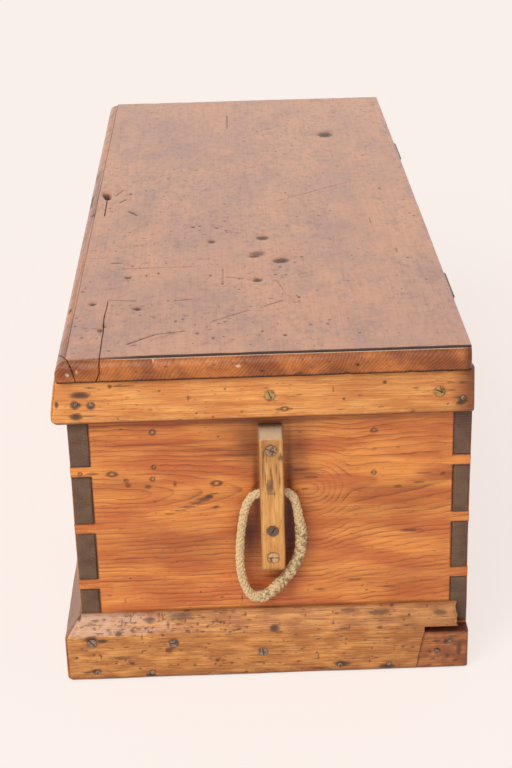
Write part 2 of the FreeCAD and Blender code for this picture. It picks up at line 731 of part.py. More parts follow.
right_rail_screws = fasteners("right_rail_screws", WOOD_SCREW, end_rail_spots(1, RIGHT_RAIL_SCREW_SPOTS))
right_rail_nails = fasteners("right_rail_nails", NAIL, end_rail_spots(1, RIGHT_RAIL_NAIL_SPOTS))
left_rail_screws = fasteners("left_rail_screws", WOOD_SCREW, end_rail_spots(-1, LEFT_RAIL_SCREW_SPOTS))
rail_screw_z = rail_bottom + dim.rail_height * FRONT_RAIL_SCREW_SHARE
front_rail_screws = fasteners("front_rail_screws", WOOD_SCREW, [
    (vector(end_x * share, front - rail_depth(rail_screw_z), rail_screw_z), rail_way(-BACKWARD), turn)
    for share, turn in FRONT_RAIL_SCREW_SPOTS])
right_plinth_screws = fasteners("right_plinth_screws", WOOD_SCREW,
                              end_flat_spots(1, RIGHT_PLINTH_SCREW_SPOTS))
right_plinth_nails = fasteners("right_plinth_nails", NAIL, end_flat_spots(1, RIGHT_PLINTH_NAIL_SPOTS))
plinth_patch_nails = fasteners("plinth_patch_nails", NAIL, end_plinth_spots(
    1, PATCH_NAIL_SPOTS, patch_front, dim.plinth_patch_length, dim.plinth_patch_height))
left_plinth_screws = fasteners("left_plinth_screws", WOOD_SCREW,
                             end_flat_spots(-1, LEFT_PLINTH_SCREW_SPOTS))
plinth_screw_z = bevel_foot * FRONT_PLINTH_SCREW_SHARE
front_plinth_screws = fasteners("front_plinth_screws", WOOD_SCREW, [
    (vector(end_x * share, front - dim.plinth_thickness, plinth_screw_z), -BACKWARD, turn)
    for share, turn in FRONT_PLINTH_SCREW_SPOTS])


def cleat_screws(side, sign):
    face = (end_x + dim.cleat_thickness) * sign
    return fasteners(f"{side}_cleat_screws", CLEAT_SCREW, [
        (vector(face, middle_y, cleat_foot + cleat_length * share), ALONG * sign, turn)
        for share, turn in CLEAT_SCREW_SPOTS])


right_cleat_screws = cleat_screws("right", 1)
left_cleat_screws = cleat_screws("left", -1)

nail_z = dim.bottom_thickness / 2
bottom_nail_spots = [(vector(end_x * share, back, nail_z), BACKWARD, 0) for share in BACK_NAIL_SHARES]
bottom_nail_spots += [(vector(end_x * share, front, nail_z), -BACKWARD, 0) for share in FRONT_NAIL_SHARES]
for index in range(len(BOTTOM_NAMES)):
    nail_y = inner_front + bottom_width * (index + END_NAIL_SHARE)
    bottom_nail_spots += [(vector(end_x * sign, nail_y, nail_z), ALONG * sign, 0) for sign in (1, -1)]
bottom_nails = fasteners("bottom_nails", NAIL, bottom_nail_spots)

case_screw_y = back - dim.hinge_leaf_width * HINGE_CASE_SCREW_SHARE
lid_screw_y = back - dim.hinge_leaf_width * HINGE_LID_SCREW_SHARE
for side_hinge, side in ((right_hinge, "right"), (left_hinge, "left")):
    across = [side_hinge.centre + dim.hinge_length * share for share in HINGE_SCREW_SHARES]
    side_hinge.case_holes = fasteners(f"{side}_hinge_case_screws", SMALL_SCREW, [
        (vector(x, case_screw_y, dim.case_height), UP, CASE_SLOT_TURN) for x in across])
    side_hinge.lid_holes = fasteners(f"{side}_hinge_lid_screws", SMALL_SCREW, [
        (vector(x, lid_screw_y, lid_bottom), -UP, LID_SLOT_TURN) for x in across])

lock_screw_x = lock_half + dim.lock_flange / 2
lock_screws = fasteners("lock_screws", SMALL_SCREW, [
    (vector(lock_screw_x * sign, inner_front + dim.lock_wall, height), BACKWARD, LOCK_SLOT_TURN)
    for sign in (1, -1) for height in (lock_top - dim.lock_flange, lock_low + dim.lock_flange)])
link_plate_screws = fasteners("link_plate_screws", SMALL_SCREW, [
    (vector(dim.staple_place + dim.link_plate_length * share, bolt_y, lid_bottom), -UP, LOCK_SLOT_TURN)
    for share in LINK_SCREW_SHARES])
escutcheon_way = rail_way(-BACKWARD)
escutcheon_foot = vector(0, front - rail_depth(key_z), key_z)
escutcheon_face = escutcheon_foot + escutcheon_way * dim.escutcheon_thickness.value
escutcheon_pins = fasteners("escutcheon_pins", PIN_NAIL, [
    (escutcheon_face + ALONG * dim.escutcheon_radius.value * share, escutcheon_way, 0)
    for share in ESCUTCHEON_PIN_SHARES])


# Beckets: one rope loop through each cleat, straight runs joined by arcs as large as the runs allow
def becket(side, sign):
    spots = [vector(becket_x * sign, middle_y + across * sign, becket_z + up)
             for across, up in BECKET_ROUTE]
    edges = []
    radii = []
    start = spots[0]
    for before, spot, after in zip(spots, spots[1:], spots[2:]):
        inward = (spot - before).normalize()
        outward = (after - spot).normalize()
        half_turn = inward.getAngle(outward) / 2
        reach = ARC_SHARE * min((spot - before).Length, (after - spot).Length)
        radius = reach / math.tan(half_turn)
        first = spot - inward * reach
        last = spot + outward * reach
        towards = (outward - inward).normalize()
        middle = spot + towards * (radius / math.cos(half_turn) - radius)
        edges.append(Part.LineSegment(start, first).toShape())
        edges.append(Part.Arc(first, middle, last).toShape())
        radii.append(round(radius, 1))
        start = last
    edges.append(Part.LineSegment(start, spots[-1]).toShape())
    path = Part.Wire(edges)
    lead = (spots[1] - spots[0]).normalize()
    ring = Part.Wire(Part.makeCircle(dim.rope_diameter.value / 2, spots[0], lead))
    rope = add("Part::Feature", f"{side}_becket")
    rope.Shape = path.makePipeShell([ring], True, False)
    section = math.pi * dim.rope_diameter.value ** 2 / 4
    print(f"{side}_becket radii {radii} length {path.Length:.1f}"
          f" volume {rope.Shape.Volume:.0f} section x length {section * path.Length:.0f}")
    nodes.append(rope)


becket("right", 1)
becket("left", -1)


# Finished pieces: each blank less the holes and recesses that it holds
def finish(label, blank, tools):
    if tools:
        nodes.append(cut(label, blank, tools))
    else:
        blank.Label = label
        nodes.append(blank)


case_hinges = [right_hinge.case_recess, left_hinge.case_recess,
               right_hinge.case_holes, left_hinge.case_holes]
right_holes = [right_rail_screws, right_rail_nails, right_plinth_screws, right_plinth_nails,
               plinth_patch_nails]
finish("front_board", front_board, right_holes + [front_rail_screws, front_plinth_screws, bottom_nails,
                                                  lock_screws, keyhole])
finish("back_board", back_board, right_holes + case_hinges + [bottom_nails])
finish("right_end_board", right_end, right_holes + [right_cleat_screws, bottom_nails])
finish("left_end_board", left_end, [left_rail_screws, left_plinth_screws, left_cleat_screws, bottom_nails])
for name, blank in zip(BOTTOM_NAMES, bottom_boards):
    finish(name, blank, [bottom_nails])
finish("front_rail", front_rail, [front_rail_screws, keyhole, escutcheon_pins])
finish("right_end_rail", right_rail, [right_rail_screws, right_rail_nails])
finish("left_end_rail", left_rail, [left_rail_screws])
finish("front_plinth", front_plinth, [front_plinth_screws])
finish("right_plinth", right_plinth_cut, [right_plinth_screws, right_plinth_nails])
finish("right_plinth_patch", plinth_patch, [plinth_patch_nails])
finish("left_plinth", left_plinth, [left_plinth_screws])
finish("right_cleat", right_cleat, [right_cleat_screws])
finish("left_cleat", left_cleat, [left_cleat_screws])
finish("lid_board", lid_blank, [corner_cutter, right_hinge.lid_recess, left_hinge.lid_recess, link_recess,
                                right_hinge.lid_holes, left_hinge.lid_holes, link_plate_screws])
finish("lid_corner_patch", lid_patch, [])
for side_hinge, side in ((right_hinge, "right"), (left_hinge, "left")):
    finish(f"{side}_hinge_case_leaf", side_hinge.case_leaf, [side_hinge.case_holes])
    finish(f"{side}_hinge_lid_leaf", side_hinge.lid_leaf, [side_hinge.lid_holes])
    finish(f"{side}_hinge_pin", side_hinge.pin, [])
finish("lock_case", lock_case, [lock_screws])
finish("lock_bolt", lock_bolt, [])
finish("lock_link_plate", link, [link_plate_screws])
finish("keyhole_escutcheon", escutcheon_plate, [keyhole, escutcheon_pins])
finish("till_front", till_front, [])
finish("till_bottom", till_bottom, [])

doc.recompute()

faults = [item.Name for item in doc.Objects if "Invalid" in item.State or "Error" in item.State]
for node in nodes:
    shape = node.Shape
    if shape.isNull() or not shape.isValid() or not shape.Solids:
        faults.append(node.Label)
if faults:
    raise RuntimeError(f"pieces that failed: {faults}")

os.makedirs("parts", exist_ok=True)
for node in nodes:
    node.Shape.exportStep(f"parts/{node.Label}.step")
    print(f"{node.Label}: {len(node.Shape.Solids)} solids, {node.Shape.Volume:.0f} mm3")
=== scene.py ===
import json
import math
from functools import partialmethod

import bmesh
import bpy
import numpy as np
from mathutils import Matrix, Vector


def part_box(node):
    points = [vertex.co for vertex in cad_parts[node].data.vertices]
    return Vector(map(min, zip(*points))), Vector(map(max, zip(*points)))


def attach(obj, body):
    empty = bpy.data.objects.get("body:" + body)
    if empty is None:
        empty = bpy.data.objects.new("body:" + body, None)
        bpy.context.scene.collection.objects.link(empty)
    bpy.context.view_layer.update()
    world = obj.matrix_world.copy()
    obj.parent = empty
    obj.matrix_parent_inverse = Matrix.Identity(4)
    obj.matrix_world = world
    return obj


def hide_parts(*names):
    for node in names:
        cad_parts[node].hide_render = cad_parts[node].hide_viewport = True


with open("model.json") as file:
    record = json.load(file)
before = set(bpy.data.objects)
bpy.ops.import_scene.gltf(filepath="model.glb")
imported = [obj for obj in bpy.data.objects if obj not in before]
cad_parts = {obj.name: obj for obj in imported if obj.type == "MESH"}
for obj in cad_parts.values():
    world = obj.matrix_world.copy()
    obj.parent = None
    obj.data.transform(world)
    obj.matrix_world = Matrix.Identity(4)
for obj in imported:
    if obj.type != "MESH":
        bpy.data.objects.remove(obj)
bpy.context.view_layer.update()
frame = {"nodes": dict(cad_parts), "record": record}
nodes = frame["nodes"]
scene = bpy.context.scene
MM = 0.001

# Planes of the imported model
INNER_X, END_X = (corner.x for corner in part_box("right_end_board"))
FRONT, INNER_FRONT = (corner.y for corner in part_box("front_board"))
INNER_BACK, BACK = (corner.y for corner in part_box("back_board"))
CASE_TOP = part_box("right_end_board")[1].z
MIDDLE_Y = (FRONT + BACK) / 2
LID_LOW, LID_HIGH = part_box("lid_board")
RAIL_LOW, RAIL_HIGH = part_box("right_end_rail")
PLINTH_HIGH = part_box("right_plinth")[1]
RAIL_DEPTH = RAIL_HIGH.x - END_X
RAIL_HEIGHT = RAIL_HIGH.z - RAIL_LOW.z
PLINTH_DEPTH = PLINTH_HIGH.x - END_X

# Camera: place in metres, angles in degrees, and the focal length in pixels of the photograph
CAMERA_PLACE = Vector((2.172, -0.03145, 1.063))
CAMERA_YAW = math.radians(0.82)
CAMERA_PITCH = math.radians(23.47)
CAMERA_ROLL = math.radians(-1.58)
FOCAL_PIXELS = 1658.6
PHOTO_SIZE = (512, 768)
SENSOR_WIDTH = 36.0


def camera_axes():
    """Right, up and forward of the camera, as unit vectors of the chest's frame."""
    level = Vector((-math.cos(CAMERA_YAW), math.sin(CAMERA_YAW), 0))
    side = Vector((math.sin(CAMERA_YAW), math.cos(CAMERA_YAW), 0))
    high = Vector((0, 0, 1))
    forward = level * math.cos(CAMERA_PITCH) - high * math.sin(CAMERA_PITCH)
    upward = high * math.cos(CAMERA_PITCH) + level * math.sin(CAMERA_PITCH)
    right = side * math.cos(CAMERA_ROLL) + upward * math.sin(CAMERA_ROLL)
    up = upward * math.cos(CAMERA_ROLL) - side * math.sin(CAMERA_ROLL)
    return right, up, forward


def placed(name, data):
    """A new object of the scene with this data."""
    made = bpy.data.objects.new(name, data)
    scene.collection.objects.link(made)
    return made


def make_camera():
    right, up, forward = camera_axes()
    data = bpy.data.cameras.new("camera")
    data.sensor_width = SENSOR_WIDTH
    data.lens = SENSOR_WIDTH * FOCAL_PIXELS / max(PHOTO_SIZE)
    turn = Matrix((right, up, -forward)).transposed().to_4x4()
    scene.camera = placed("camera", data)
    scene.camera.matrix_world = Matrix.Translation(CAMERA_PLACE) @ turn


def seen_at(pixel_x, pixel_y, axis, plane):
    """Where the camera's ray through a pixel of the photograph meets a plane across an axis, as two
    coordinates on that plane."""
    right, up, forward = camera_axes()
    ray = forward + right * ((pixel_x - PHOTO_SIZE[0] / 2) / FOCAL_PIXELS)
    ray = ray - up * ((pixel_y - PHOTO_SIZE[1] / 2) / FOCAL_PIXELS)
    spot = CAMERA_PLACE + ray * ((plane - CAMERA_PLACE[axis]) / ray[axis])
    return (spot.y, spot.z) if axis == 0 else (spot.x, spot.y)


make_camera()


# Materials: a field is a number or colour that varies over a surface, and sums on it add nodes
def plug(tree, item, socket):
    """Links a field or an output to an input, or sets the input's own value."""
    if isinstance(item, Field):
        item = item.socket
    if isinstance(item, bpy.types.NodeSocket):
        tree.links.new(item, socket)
    elif isinstance(item, tuple) and len(item) < len(socket.default_value):
        socket.default_value = (*item, 1.0)
    else:
        socket.default_value = item


def add_node(tree, kind, *items, **named):
    """A shader node with items on its first inputs and on inputs by name, where _ stands for a space."""
    node = tree.nodes.new(f"ShaderNode{kind}")
    sockets = [*node.inputs[:len(items)], *(node.inputs[name.replace("_", " ")] for name in named)]
    for socket, item in zip(sockets, (*items, *named.values())):
        plug(tree, item, socket)
    return node


def fresh_tree(owner):
    """The emptied node tree of a material or world."""
    owner.use_nodes = True
    owner.node_tree.nodes.clear()
    return owner.node_tree


def tone(*levels):
    """Colour written as it shows on a screen, 0 to 255, as the shader's own numbers."""
    return tuple(((level / 255 + 0.055) / 1.055) ** 2.4 for level in levels)


# Tint that the shade field multiplies in: smoke stains, and painted shade and shadows
STAIN_AND_SHADING_TINT = tone(118, 84, 84)
# Colours that the dirt field mixes in: dirt, and painted shade in holes and dents, over the back of the
# cleats' tops, in the lid's step and along its lowest edge
SOOT_AND_SHADING = tone(58, 43, 36)
LID_SOOT_AND_SHADING = tone(38, 29, 25)
COAT_ROUGHNESS = 0.3


class Field:
    def __init__(self, tree, socket):
        self.tree = tree
        self.socket = socket

    def math(self, operation, *others):
        node = add_node(self.tree, "Math", self, *others)
        node.operation = operation
        return Field(self.tree, node.outputs[0])

    __add__ = partialmethod(math, "ADD")
    __sub__ = partialmethod(math, "SUBTRACT")
    __mul__ = partialmethod(math, "MULTIPLY")
    __truediv__ = partialmethod(math, "DIVIDE")

    def inverse(self):
        return (self * -1.0) + 1.0

    def step(self, low, high):
        """0 below low, 1 above high and smooth between them."""
        node = add_node(self.tree, "MapRange", self, low, high)
        node.interpolation_type = "SMOOTHSTEP"
        return Field(self.tree, node.outputs["Result"])


class Paint:
    """One material: its tree, its shader and the fields that its nodes are made from."""

    def __init__(self, name, roughness=0.5, coat=0.0, metallic=0.0, specular=0.5):
        self.material = bpy.data.materials.new(name)
        self.tree = fresh_tree(self.material)
        self.shader = add_node(self.tree, "BsdfPrincipled", Roughness=roughness, Coat_Weight=coat,
                               Coat_Roughness=COAT_ROUGHNESS, Metallic=metallic, Specular_IOR_Level=specular)
        add_node(self.tree, "OutputMaterial", Surface=self.shader.outputs[0])
        self.place = add_node(self.tree, "TexCoord").outputs["Object"]
        split = add_node(self.tree, "SeparateXYZ", self.place)
        self.x, self.y, self.z = (Field(self.tree, socket) * (1 / MM) for socket in split.outputs)

    def texture(self, kind, size, shift, **settings):
        """A texture whose lumps have a size in millimetres along X, Y and Z."""
        rates = tuple(1 / (MM * length) for length in size)
        scale = add_node(self.tree, "VectorMath", self.place, rates, (shift, shift * 1.7, shift * 2.3))
        scale.operation = "MULTIPLY_ADD"
        return add_node(self.tree, kind, Vector=scale.outputs[0], Scale=1.0, **settings)

    def noise(self, size, detail=2.0, rough=0.5, shift=0.0):
        node = self.texture("TexNoise", size, shift, Detail=detail, Roughness=rough)
        return Field(self.tree, node.outputs["Fac"])

    def pits(self, size, radius, share, shift=0.0):
        """Scattered round spots: one in a share of the cells, with a radius as a part of the cell."""
        node = self.texture("TexVoronoi", size, shift)
        split = add_node(self.tree, "SeparateColor", node.outputs["Color"])
        chosen = Field(self.tree, split.outputs[0]).step(1 - share, 1 - share + 0.02)
        near = Field(self.tree, node.outputs["Distance"]).step(radius * 0.55, radius).inverse()
        return near * chosen

    def attribute(self, name):
        node = add_node(self.tree, "Attribute")
        node.attribute_name = name
        return Field(self.tree, node.outputs["Fac"])

    def mix(self, factor, first, second, blend="MIX"):
        node = add_node(self.tree, "Mix")
        node.data_type = "RGBA"
        node.blend_type = blend
        sockets = [socket for socket in node.inputs if socket.enabled]
        for socket, item in zip(sockets, (factor, first, second)):
            plug(self.tree, item, socket)
        return Field(self.tree, [socket for socket in node.outputs if socket.enabled][0])

    def layered(self, base, *layers):
        """A colour with others laid over it, each with its factor; colours are written as on a screen."""
        colour = tone(*base)
        for factor, levels in layers:
            colour = self.mix(factor, colour, tone(*levels))
        return colour

    def soiled(self, colour, size, soot_and_shading):
        """A colour with the smoke stains and painted shade of the mesh, and its dirty places and painted
        shadow lines with ragged edges, and the value of those places itself.
        """
        ragged = self.noise(size, 3.0, 0.6, shift=4.0) - 0.5
        colour = self.mix(self.attribute("shade"), colour, STAIN_AND_SHADING_TINT, "MULTIPLY")
        soiling_and_shading = self.attribute("dirt")
        # Dirt, with the painted shade that the same field carries
        grime = (soiling_and_shading + ragged * 0.9).step(0.2, 0.66) * (soiling_and_shading * 0.85 + 0.13)
        return self.mix(grime, colour, soot_and_shading), soiling_and_shading

    def finished(self, colour, relief, depth, roughness=None):
        """The material with its colour and roughness, and a bump whose relief spans a depth in mm."""
        bump = add_node(self.tree, "Bump", Distance=depth * MM, Height=relief)
        plug(self.tree, bump.outputs[0], self.shader.inputs["Normal"])
        plug(self.tree, colour, self.shader.inputs["Base Color"])
        if roughness:
            plug(self.tree, roughness, self.shader.inputs["Roughness"])
        return self.material


def stretched(grain, along, across):
    """Sizes of a texture's lumps that are drawn out along the grain."""
    return tuple(along if axis == grain else across for axis in "xyz")


def straight_rings(grain, spacing, lean=0.35):
    """Ring count over a board with nearly straight grain: the rings cross the board at a lean."""
    def rings(paint):
        across, through = {"x": (paint.z, paint.y), "y": (paint.z, paint.x), "z": (paint.y, paint.x)}[grain]
        wander = paint.noise(stretched(grain, 420, 60), 2.0)
        return (across + through * lean) / spacing + wander * (34 / spacing)
    return rings


# Plain-sawn boards: cut near the pith, so that the rings close in tongues along the grain
RING_SPACING = 5.8
RING_START = 0.72


def sawn_rings(grain, pith):
    def rings(paint):
        run = {"x": paint.x, "y": paint.y}[grain]
        wander = (paint.noise(stretched(grain, 110, 42), 2.0) - 0.5) * 12.0
        ripple = (paint.noise(stretched(grain, 22, 9), 1.0, shift=3.0) - 0.5) * 4.4
        height, depth = pith(run)
        rise = paint.z - height + wander + ripple
        return (rise * rise + depth * depth).math("SQRT") / RING_SPACING + RING_START
    return rings


def panel_pith(run):
    """Height and depth of the pith behind the end panel: it sinks away twice towards the back."""
    start = (run + 145.0).math("MAXIMUM", 0.0)
    first = (start / -110.0).math("EXPONENT").inverse() * 35.0 * run.step(-25.0, 45.0).inverse()
    beyond = (run - 60.0).math("MAXIMUM", 0.0)
    return beyond * 0.1 + 229.0, first + run.step(44.0, 96.0) * 31.0 + beyond * 0.06 + 1.5


def board_pith(height):
    def pith(run):
        return height, (run + 600.0) * 0.03 + (run / 90.0).math("SINE") * 4.0 + 4.0
    return pith


def timber(name, light, deep, line, rings, grain, lines=0.6, fibres=0.35, patches=(90, 40),
           worn=(220, 170, 130), gloss=(0.42, 0.12), fine=1.0, specks=0.4):
    """Wood with latewood lines, fibres, flecks and tone patches, and the marks of its mesh: dirt, wear, smoke
    stains, painted shade and painted highlights. Gloss is the roughness and the coat."""
    paint = Paint(name, coat=gloss[1], specular=0.35)
    phase = rings(paint).math("FRACT")
    edge = phase.step(0.94, 1.0).inverse()
    strength = paint.noise(stretched(grain, 90, 11), 3.0, shift=5.0).step(0.34, 0.66)
    late = (phase.step(0.2, 0.9) * 0.4 + phase.step(0.72, 0.92) * 0.6) * edge * (strength * 0.75 + 0.25)
    fibre = paint.noise(stretched(grain, 34 * fine, 0.9 * fine), 4.0, 0.65, shift=1.0)
    streak = paint.noise(stretched(grain, 130 * fine, 5 * fine), 3.0, 0.6, shift=7.0)
    patch = paint.noise(stretched(grain, *patches), 3.0, 0.55, shift=2.0).step(0.36, 0.64)
    fleck = paint.noise(stretched(grain, 9, 1.7), 2.0, shift=9.0).step(0.64, 0.74)
    colour = paint.layered(light, (patch, deep), (streak.step(0.42, 0.74) * 0.5, deep), (late * lines, line),
                           (fibre.step(0.36, 0.72) * fibres, line), (fleck * specks, line))
    # Pale places: wear, and painted highlights along the rails' turns, below the plinths' bevels and over the
    # cleats' caps
    bare_and_highlit = paint.attribute("worn")
    rubbed = (bare_and_highlit + (paint.noise((9, 9, 5), 3.0, 0.65, shift=6.0) - 0.5) * 0.9).step(0.3, 0.7)
    colour = paint.mix(rubbed * 0.85, colour, paint.layered(worn, (fibre.step(0.4, 0.7) * 0.35, line)))
    colour, soiling_and_shading = paint.soiled(colour, stretched(grain, 5.0, 2.2), SOOT_AND_SHADING)
    relief = fibre * 0.6 - late * 0.4 - fleck * 0.8 + streak * 0.3 - rubbed * 0.3
    return paint.finished(colour, relief, 0.3, streak * 0.2 + soiling_and_shading * 0.2 + bare_and_highlit * 0.1 + (gloss[0] - 0.1))


PANEL_WOOD = timber("panel_wood", (246, 160, 80), (212, 118, 60), (120, 56, 36),
                    sawn_rings("y", panel_pith), "y", lines=0.68, fibres=0.34, patches=(110, 26), fine=1.5)
LONG_TONES = ((228, 140, 68), (192, 104, 52), (112, 56, 36))
FRONT_WOOD = timber("front_wood", *LONG_TONES, sawn_rings("x", board_pith(190.0)), "x", lines=0.8, fibres=0.3,
                    patches=(260, 40), fine=1.5)
BACK_WOOD = timber("back_wood", *LONG_TONES, sawn_rings("x", board_pith(130.0)), "x", lines=0.8, fibres=0.3,
                   patches=(260, 40), gloss=(0.55, 0.05), fine=1.5)
RAIL_TONES = ((252, 178, 100), (228, 146, 78), (152, 86, 42))
# Pale colour of the rails' wear and of the painted highlight along their turn
RAIL_WEAR_AND_HIGHLIGHT = (250, 190, 120)
RAIL_WOOD = timber("rail_wood", *RAIL_TONES, straight_rings("y", 5.0), "y", 0.45, 0.5, (50, 9), RAIL_WEAR_AND_HIGHLIGHT,
                   specks=0.7)
FRONT_RAIL_WOOD = timber("front_rail_wood", *RAIL_TONES, straight_rings("x", 5.0), "x", 0.45, 0.5, (110, 14),
                         RAIL_WEAR_AND_HIGHLIGHT)
PLINTH_TONES = ((236, 166, 92), (198, 126, 64), (108, 62, 36))
# Pale colour of the plinths' wear and of the painted highlight along the edge below the bevel
PLINTH_WEAR_AND_HIGHLIGHT = (222, 176, 146)
PLINTH_WOOD = timber("plinth_wood", *PLINTH_TONES, straight_rings("y", 4.5), "y", 0.45, 0.6, (30, 10),
                     PLINTH_WEAR_AND_HIGHLIGHT, specks=0.7)
FRONT_PLINTH_WOOD = timber("front_plinth_wood", *PLINTH_TONES, straight_rings("x", 6.5), "x", 0.45, 0.45,
                           (110, 20), (186, 150, 128), specks=0.7)
PATCH_WOOD = timber("patch_wood", (226, 144, 78), (176, 106, 64), (96, 56, 38), straight_rings("y", 7.0),
                    "y", 0.45, 0.55, (18, 10), specks=0.6)
INSIDE_TONES = ((206, 160, 108), (178, 132, 86), (132, 90, 56))
INSIDE_WOOD = timber("inside_wood", *INSIDE_TONES, straight_rings("x", 8.0, 0.6), "x", 0.5, 0.35, (200, 40),
                     gloss=(0.65, 0.0))
INSIDE_END_WOOD = timber("inside_end_wood", *INSIDE_TONES, straight_rings("y", 8.0, 0.6), "y", 0.5, 0.35,
                         (120, 40), gloss=(0.65, 0.0))
CLEAT_WOOD = timber("cleat_wood", (248, 186, 106), (220, 154, 82), (140, 86, 46), straight_rings("z", 5.0),
                    "z", 0.3, 0.5, (50, 9), (222, 196, 162), (0.32, 0.25), fine=0.7, specks=0.6)


def end_grain():
    """Sawn ends of the boards: growth rings edge on, specks and grime, with hardly any shine."""
    paint = Paint("end_grain", roughness=0.55, specular=0.35)
    speck = paint.noise((1.6, 1.6, 1.6), 3.0, 0.65)
    ring = (paint.z + paint.y * 0.3 + paint.noise((60, 60, 60), 1.0) * 30.0) / 3.2
    ring = ring.math("FRACT").step(0.45, 0.95)
    patch = paint.noise((24, 24, 16), 3.0, shift=3.0).step(0.35, 0.68)
    colour = paint.layered((114, 88, 68), (patch, (94, 68, 54)), (speck.step(0.42, 0.66) * 0.4, (66, 48, 40)),
                           (ring * 0.2, (140, 100, 72)))
    colour, _ = paint.soiled(colour, (3, 3, 3), tone(26, 20, 17))
    return paint.finished(colour, speck - ring * 0.4, 0.25)


END_GRAIN = end_grain()


def lid_highlight_and_grime(paint, colour, grain):
    """A lid colour with the painted highlights and glints of its mesh, and its dirty places and painted
    shade.
    """
    # Painted highlights: the pale line beside the step, the moulding's ridge, and glints in dents and on the
    # right end
    rubbed = (paint.attribute("worn") + (grain - 0.5) * 0.8).step(0.25, 0.7)
    colour = paint.mix(rubbed * 0.8, colour, tone(222, 194, 172))
    return paint.soiled(colour, (4, 4, 4), LID_SOOT_AND_SHADING)


def lid_wood():
    """Polished brown wood of the lid's top: hazy, scratched and pitted, and paler and pinker than the
    moulding partly by a painted sheen.
    """
    paint = Paint("lid_wood", coat=0.25, specular=0.55)
    grain = paint.noise((90, 2.6, 2.6), 3.0, 0.6)
    plane = paint.noise((1.5, 38, 38), 3.0, 0.6, shift=1.0)
    wide = paint.noise((190, 80, 80), 3.0, 0.6, shift=2.0).step(0.36, 0.66)
    cloud = paint.noise((12, 9, 9), 4.0, 0.72, shift=6.0).step(0.44, 0.7)
    where = paint.noise((130, 80, 80), 1.0, shift=11.0).step(0.36, 0.6)
    haze = paint.noise((80, 55, 55), 4.0, 0.7, shift=14.0).step(0.46, 0.64)
    marks = paint.pits((15, 14, 14), 0.17, 0.4, 3.0) * where
    marks = marks + paint.pits((7, 6, 6), 0.19, 0.2, 5.0) * 0.7
    marks = marks + paint.pits((5, 44, 44), 0.11, 0.2, 7.0) * 0.5
    marks = marks + paint.pits((64, 5, 5), 0.1, 0.16, 9.0) * 0.5
    colour = paint.layered(
        # Base: the wood's red-brown, lightened and greyed by a painted sheen
        (218, 158, 122),
        (wide, (200, 146, 122)),
        (haze * 0.32, (142, 112, 112)),
        (cloud * (where * 0.3 + 0.14), (142, 116, 114)),
        (grain.step(0.42, 0.72) * 0.2, (146, 98, 76)),
        (plane.step(0.5, 0.74) * 0.25, (140, 106, 92)),
        (marks.math("MINIMUM", 0.9), (72, 53, 46)),
    )
    colour, soiling_and_shading = lid_highlight_and_grime(paint, colour, grain)
    relief = grain * 0.4 + plane * 0.3 - marks * 1.2 + cloud * 0.5
    return paint.finished(colour, relief, 0.35, cloud * 0.14 + 0.36 + soiling_and_shading * 0.3)


def lid_edge():
    """The lid's moulding: glossy, redder than the top, with slanting grain and scuffs."""
    paint = Paint("lid_edge", coat=0.12, specular=0.3)
    hatch = ((paint.y - paint.z * 0.8) / 4.2 + paint.noise((500, 60, 60), 2.0) * 8.0).math("FRACT")
    late = hatch.step(0.3, 0.85) * hatch.step(0.9, 1.0).inverse()
    grain = paint.noise((90, 2.6, 2.6), 3.0, 0.6)
    wide = paint.noise((190, 60, 40), 3.0, 0.6, shift=2.0).step(0.36, 0.66)
    cloud = paint.noise((14, 10, 6), 4.0, 0.72, shift=6.0).step(0.46, 0.7)
    scuff = paint.pits((6, 5, 3), 0.2, 0.25, 5.0) * 0.7
    colour = paint.layered(
        (206, 122, 58),
        (wide, (150, 80, 40)),
        (late * (wide * 0.25 + 0.2), (84, 42, 24)),
        (cloud * 0.45, (104, 66, 50)),
        (scuff, (58, 38, 30)),
    )
    colour, soiling_and_shading = lid_highlight_and_grime(paint, colour, grain)
    relief = grain * 0.4 + late * 0.2 + cloud * 0.6 - scuff
    return paint.finished(colour, relief, 0.35, cloud * 0.16 + soiling_and_shading * 0.3 + 0.2)


LID_WOOD = lid_wood()
LID_EDGE = lid_edge()


def old_metal(name, base, stain, metallic, roughness, stain_share, bands=()):
    """Pitted metal with stains; each band has another colour below a height in millimetres."""
    paint = Paint(name, metallic=metallic)
    lump = paint.noise((2.2, 2.2, 2.2), 3.0, 0.65)
    wide = paint.noise((7, 7, 7), 2.0, shift=4.0)
    rust = (lump * 0.6 + wide * 0.4).step(0.62 - stain_share * 0.3, 0.72 - stain_share * 0.3)
    colour = tone(*base)
    for height, below in bands:
        colour = paint.mix(paint.z.step(height - 1.0, height + 1.0), tone(*below), colour)
    return paint.finished(paint.mix(rust, colour, tone(*stain)), lump, 0.2, lump * 0.25 + roughness)


IRON = old_metal("iron", (150, 128, 108), (98, 74, 60), 0.3, 0.4, 0.5)
CLEAT_IRON = old_metal("cleat_iron", (164, 132, 104), (104, 78, 62), 0.2, 0.45, 0.45,
                       ((244.0, (112, 84, 74)), (176.0, (212, 174, 126))))
BRASS = old_metal("brass", (186, 150, 92), (108, 78, 46), 0.55, 0.32, 0.45)


def rope_fibre():
    """Pale hairy rope with brown stains."""
    paint = Paint("rope_fibre", roughness=0.85, specular=0.2)
    hair = paint.noise((1.0, 1.0, 2.5), 3.0, 0.7)
    stain = paint.noise((4, 4, 5), 2.0, 0.6, shift=3.0)
    colour = paint.layered((244, 216, 172), (hair.step(0.3, 0.7), (206, 174, 128)),
                           (stain.step(0.52, 0.68) * 0.3, (132, 106, 76)))
    # Dirt, and the painted shade of the braid's hollows
    colour, _ = paint.soiled(colour, (2.5, 2.5, 2.5), tone(84, 64, 46))
    return paint.finished(colour, hair, 0.5)


ROPE = rope_fibre()


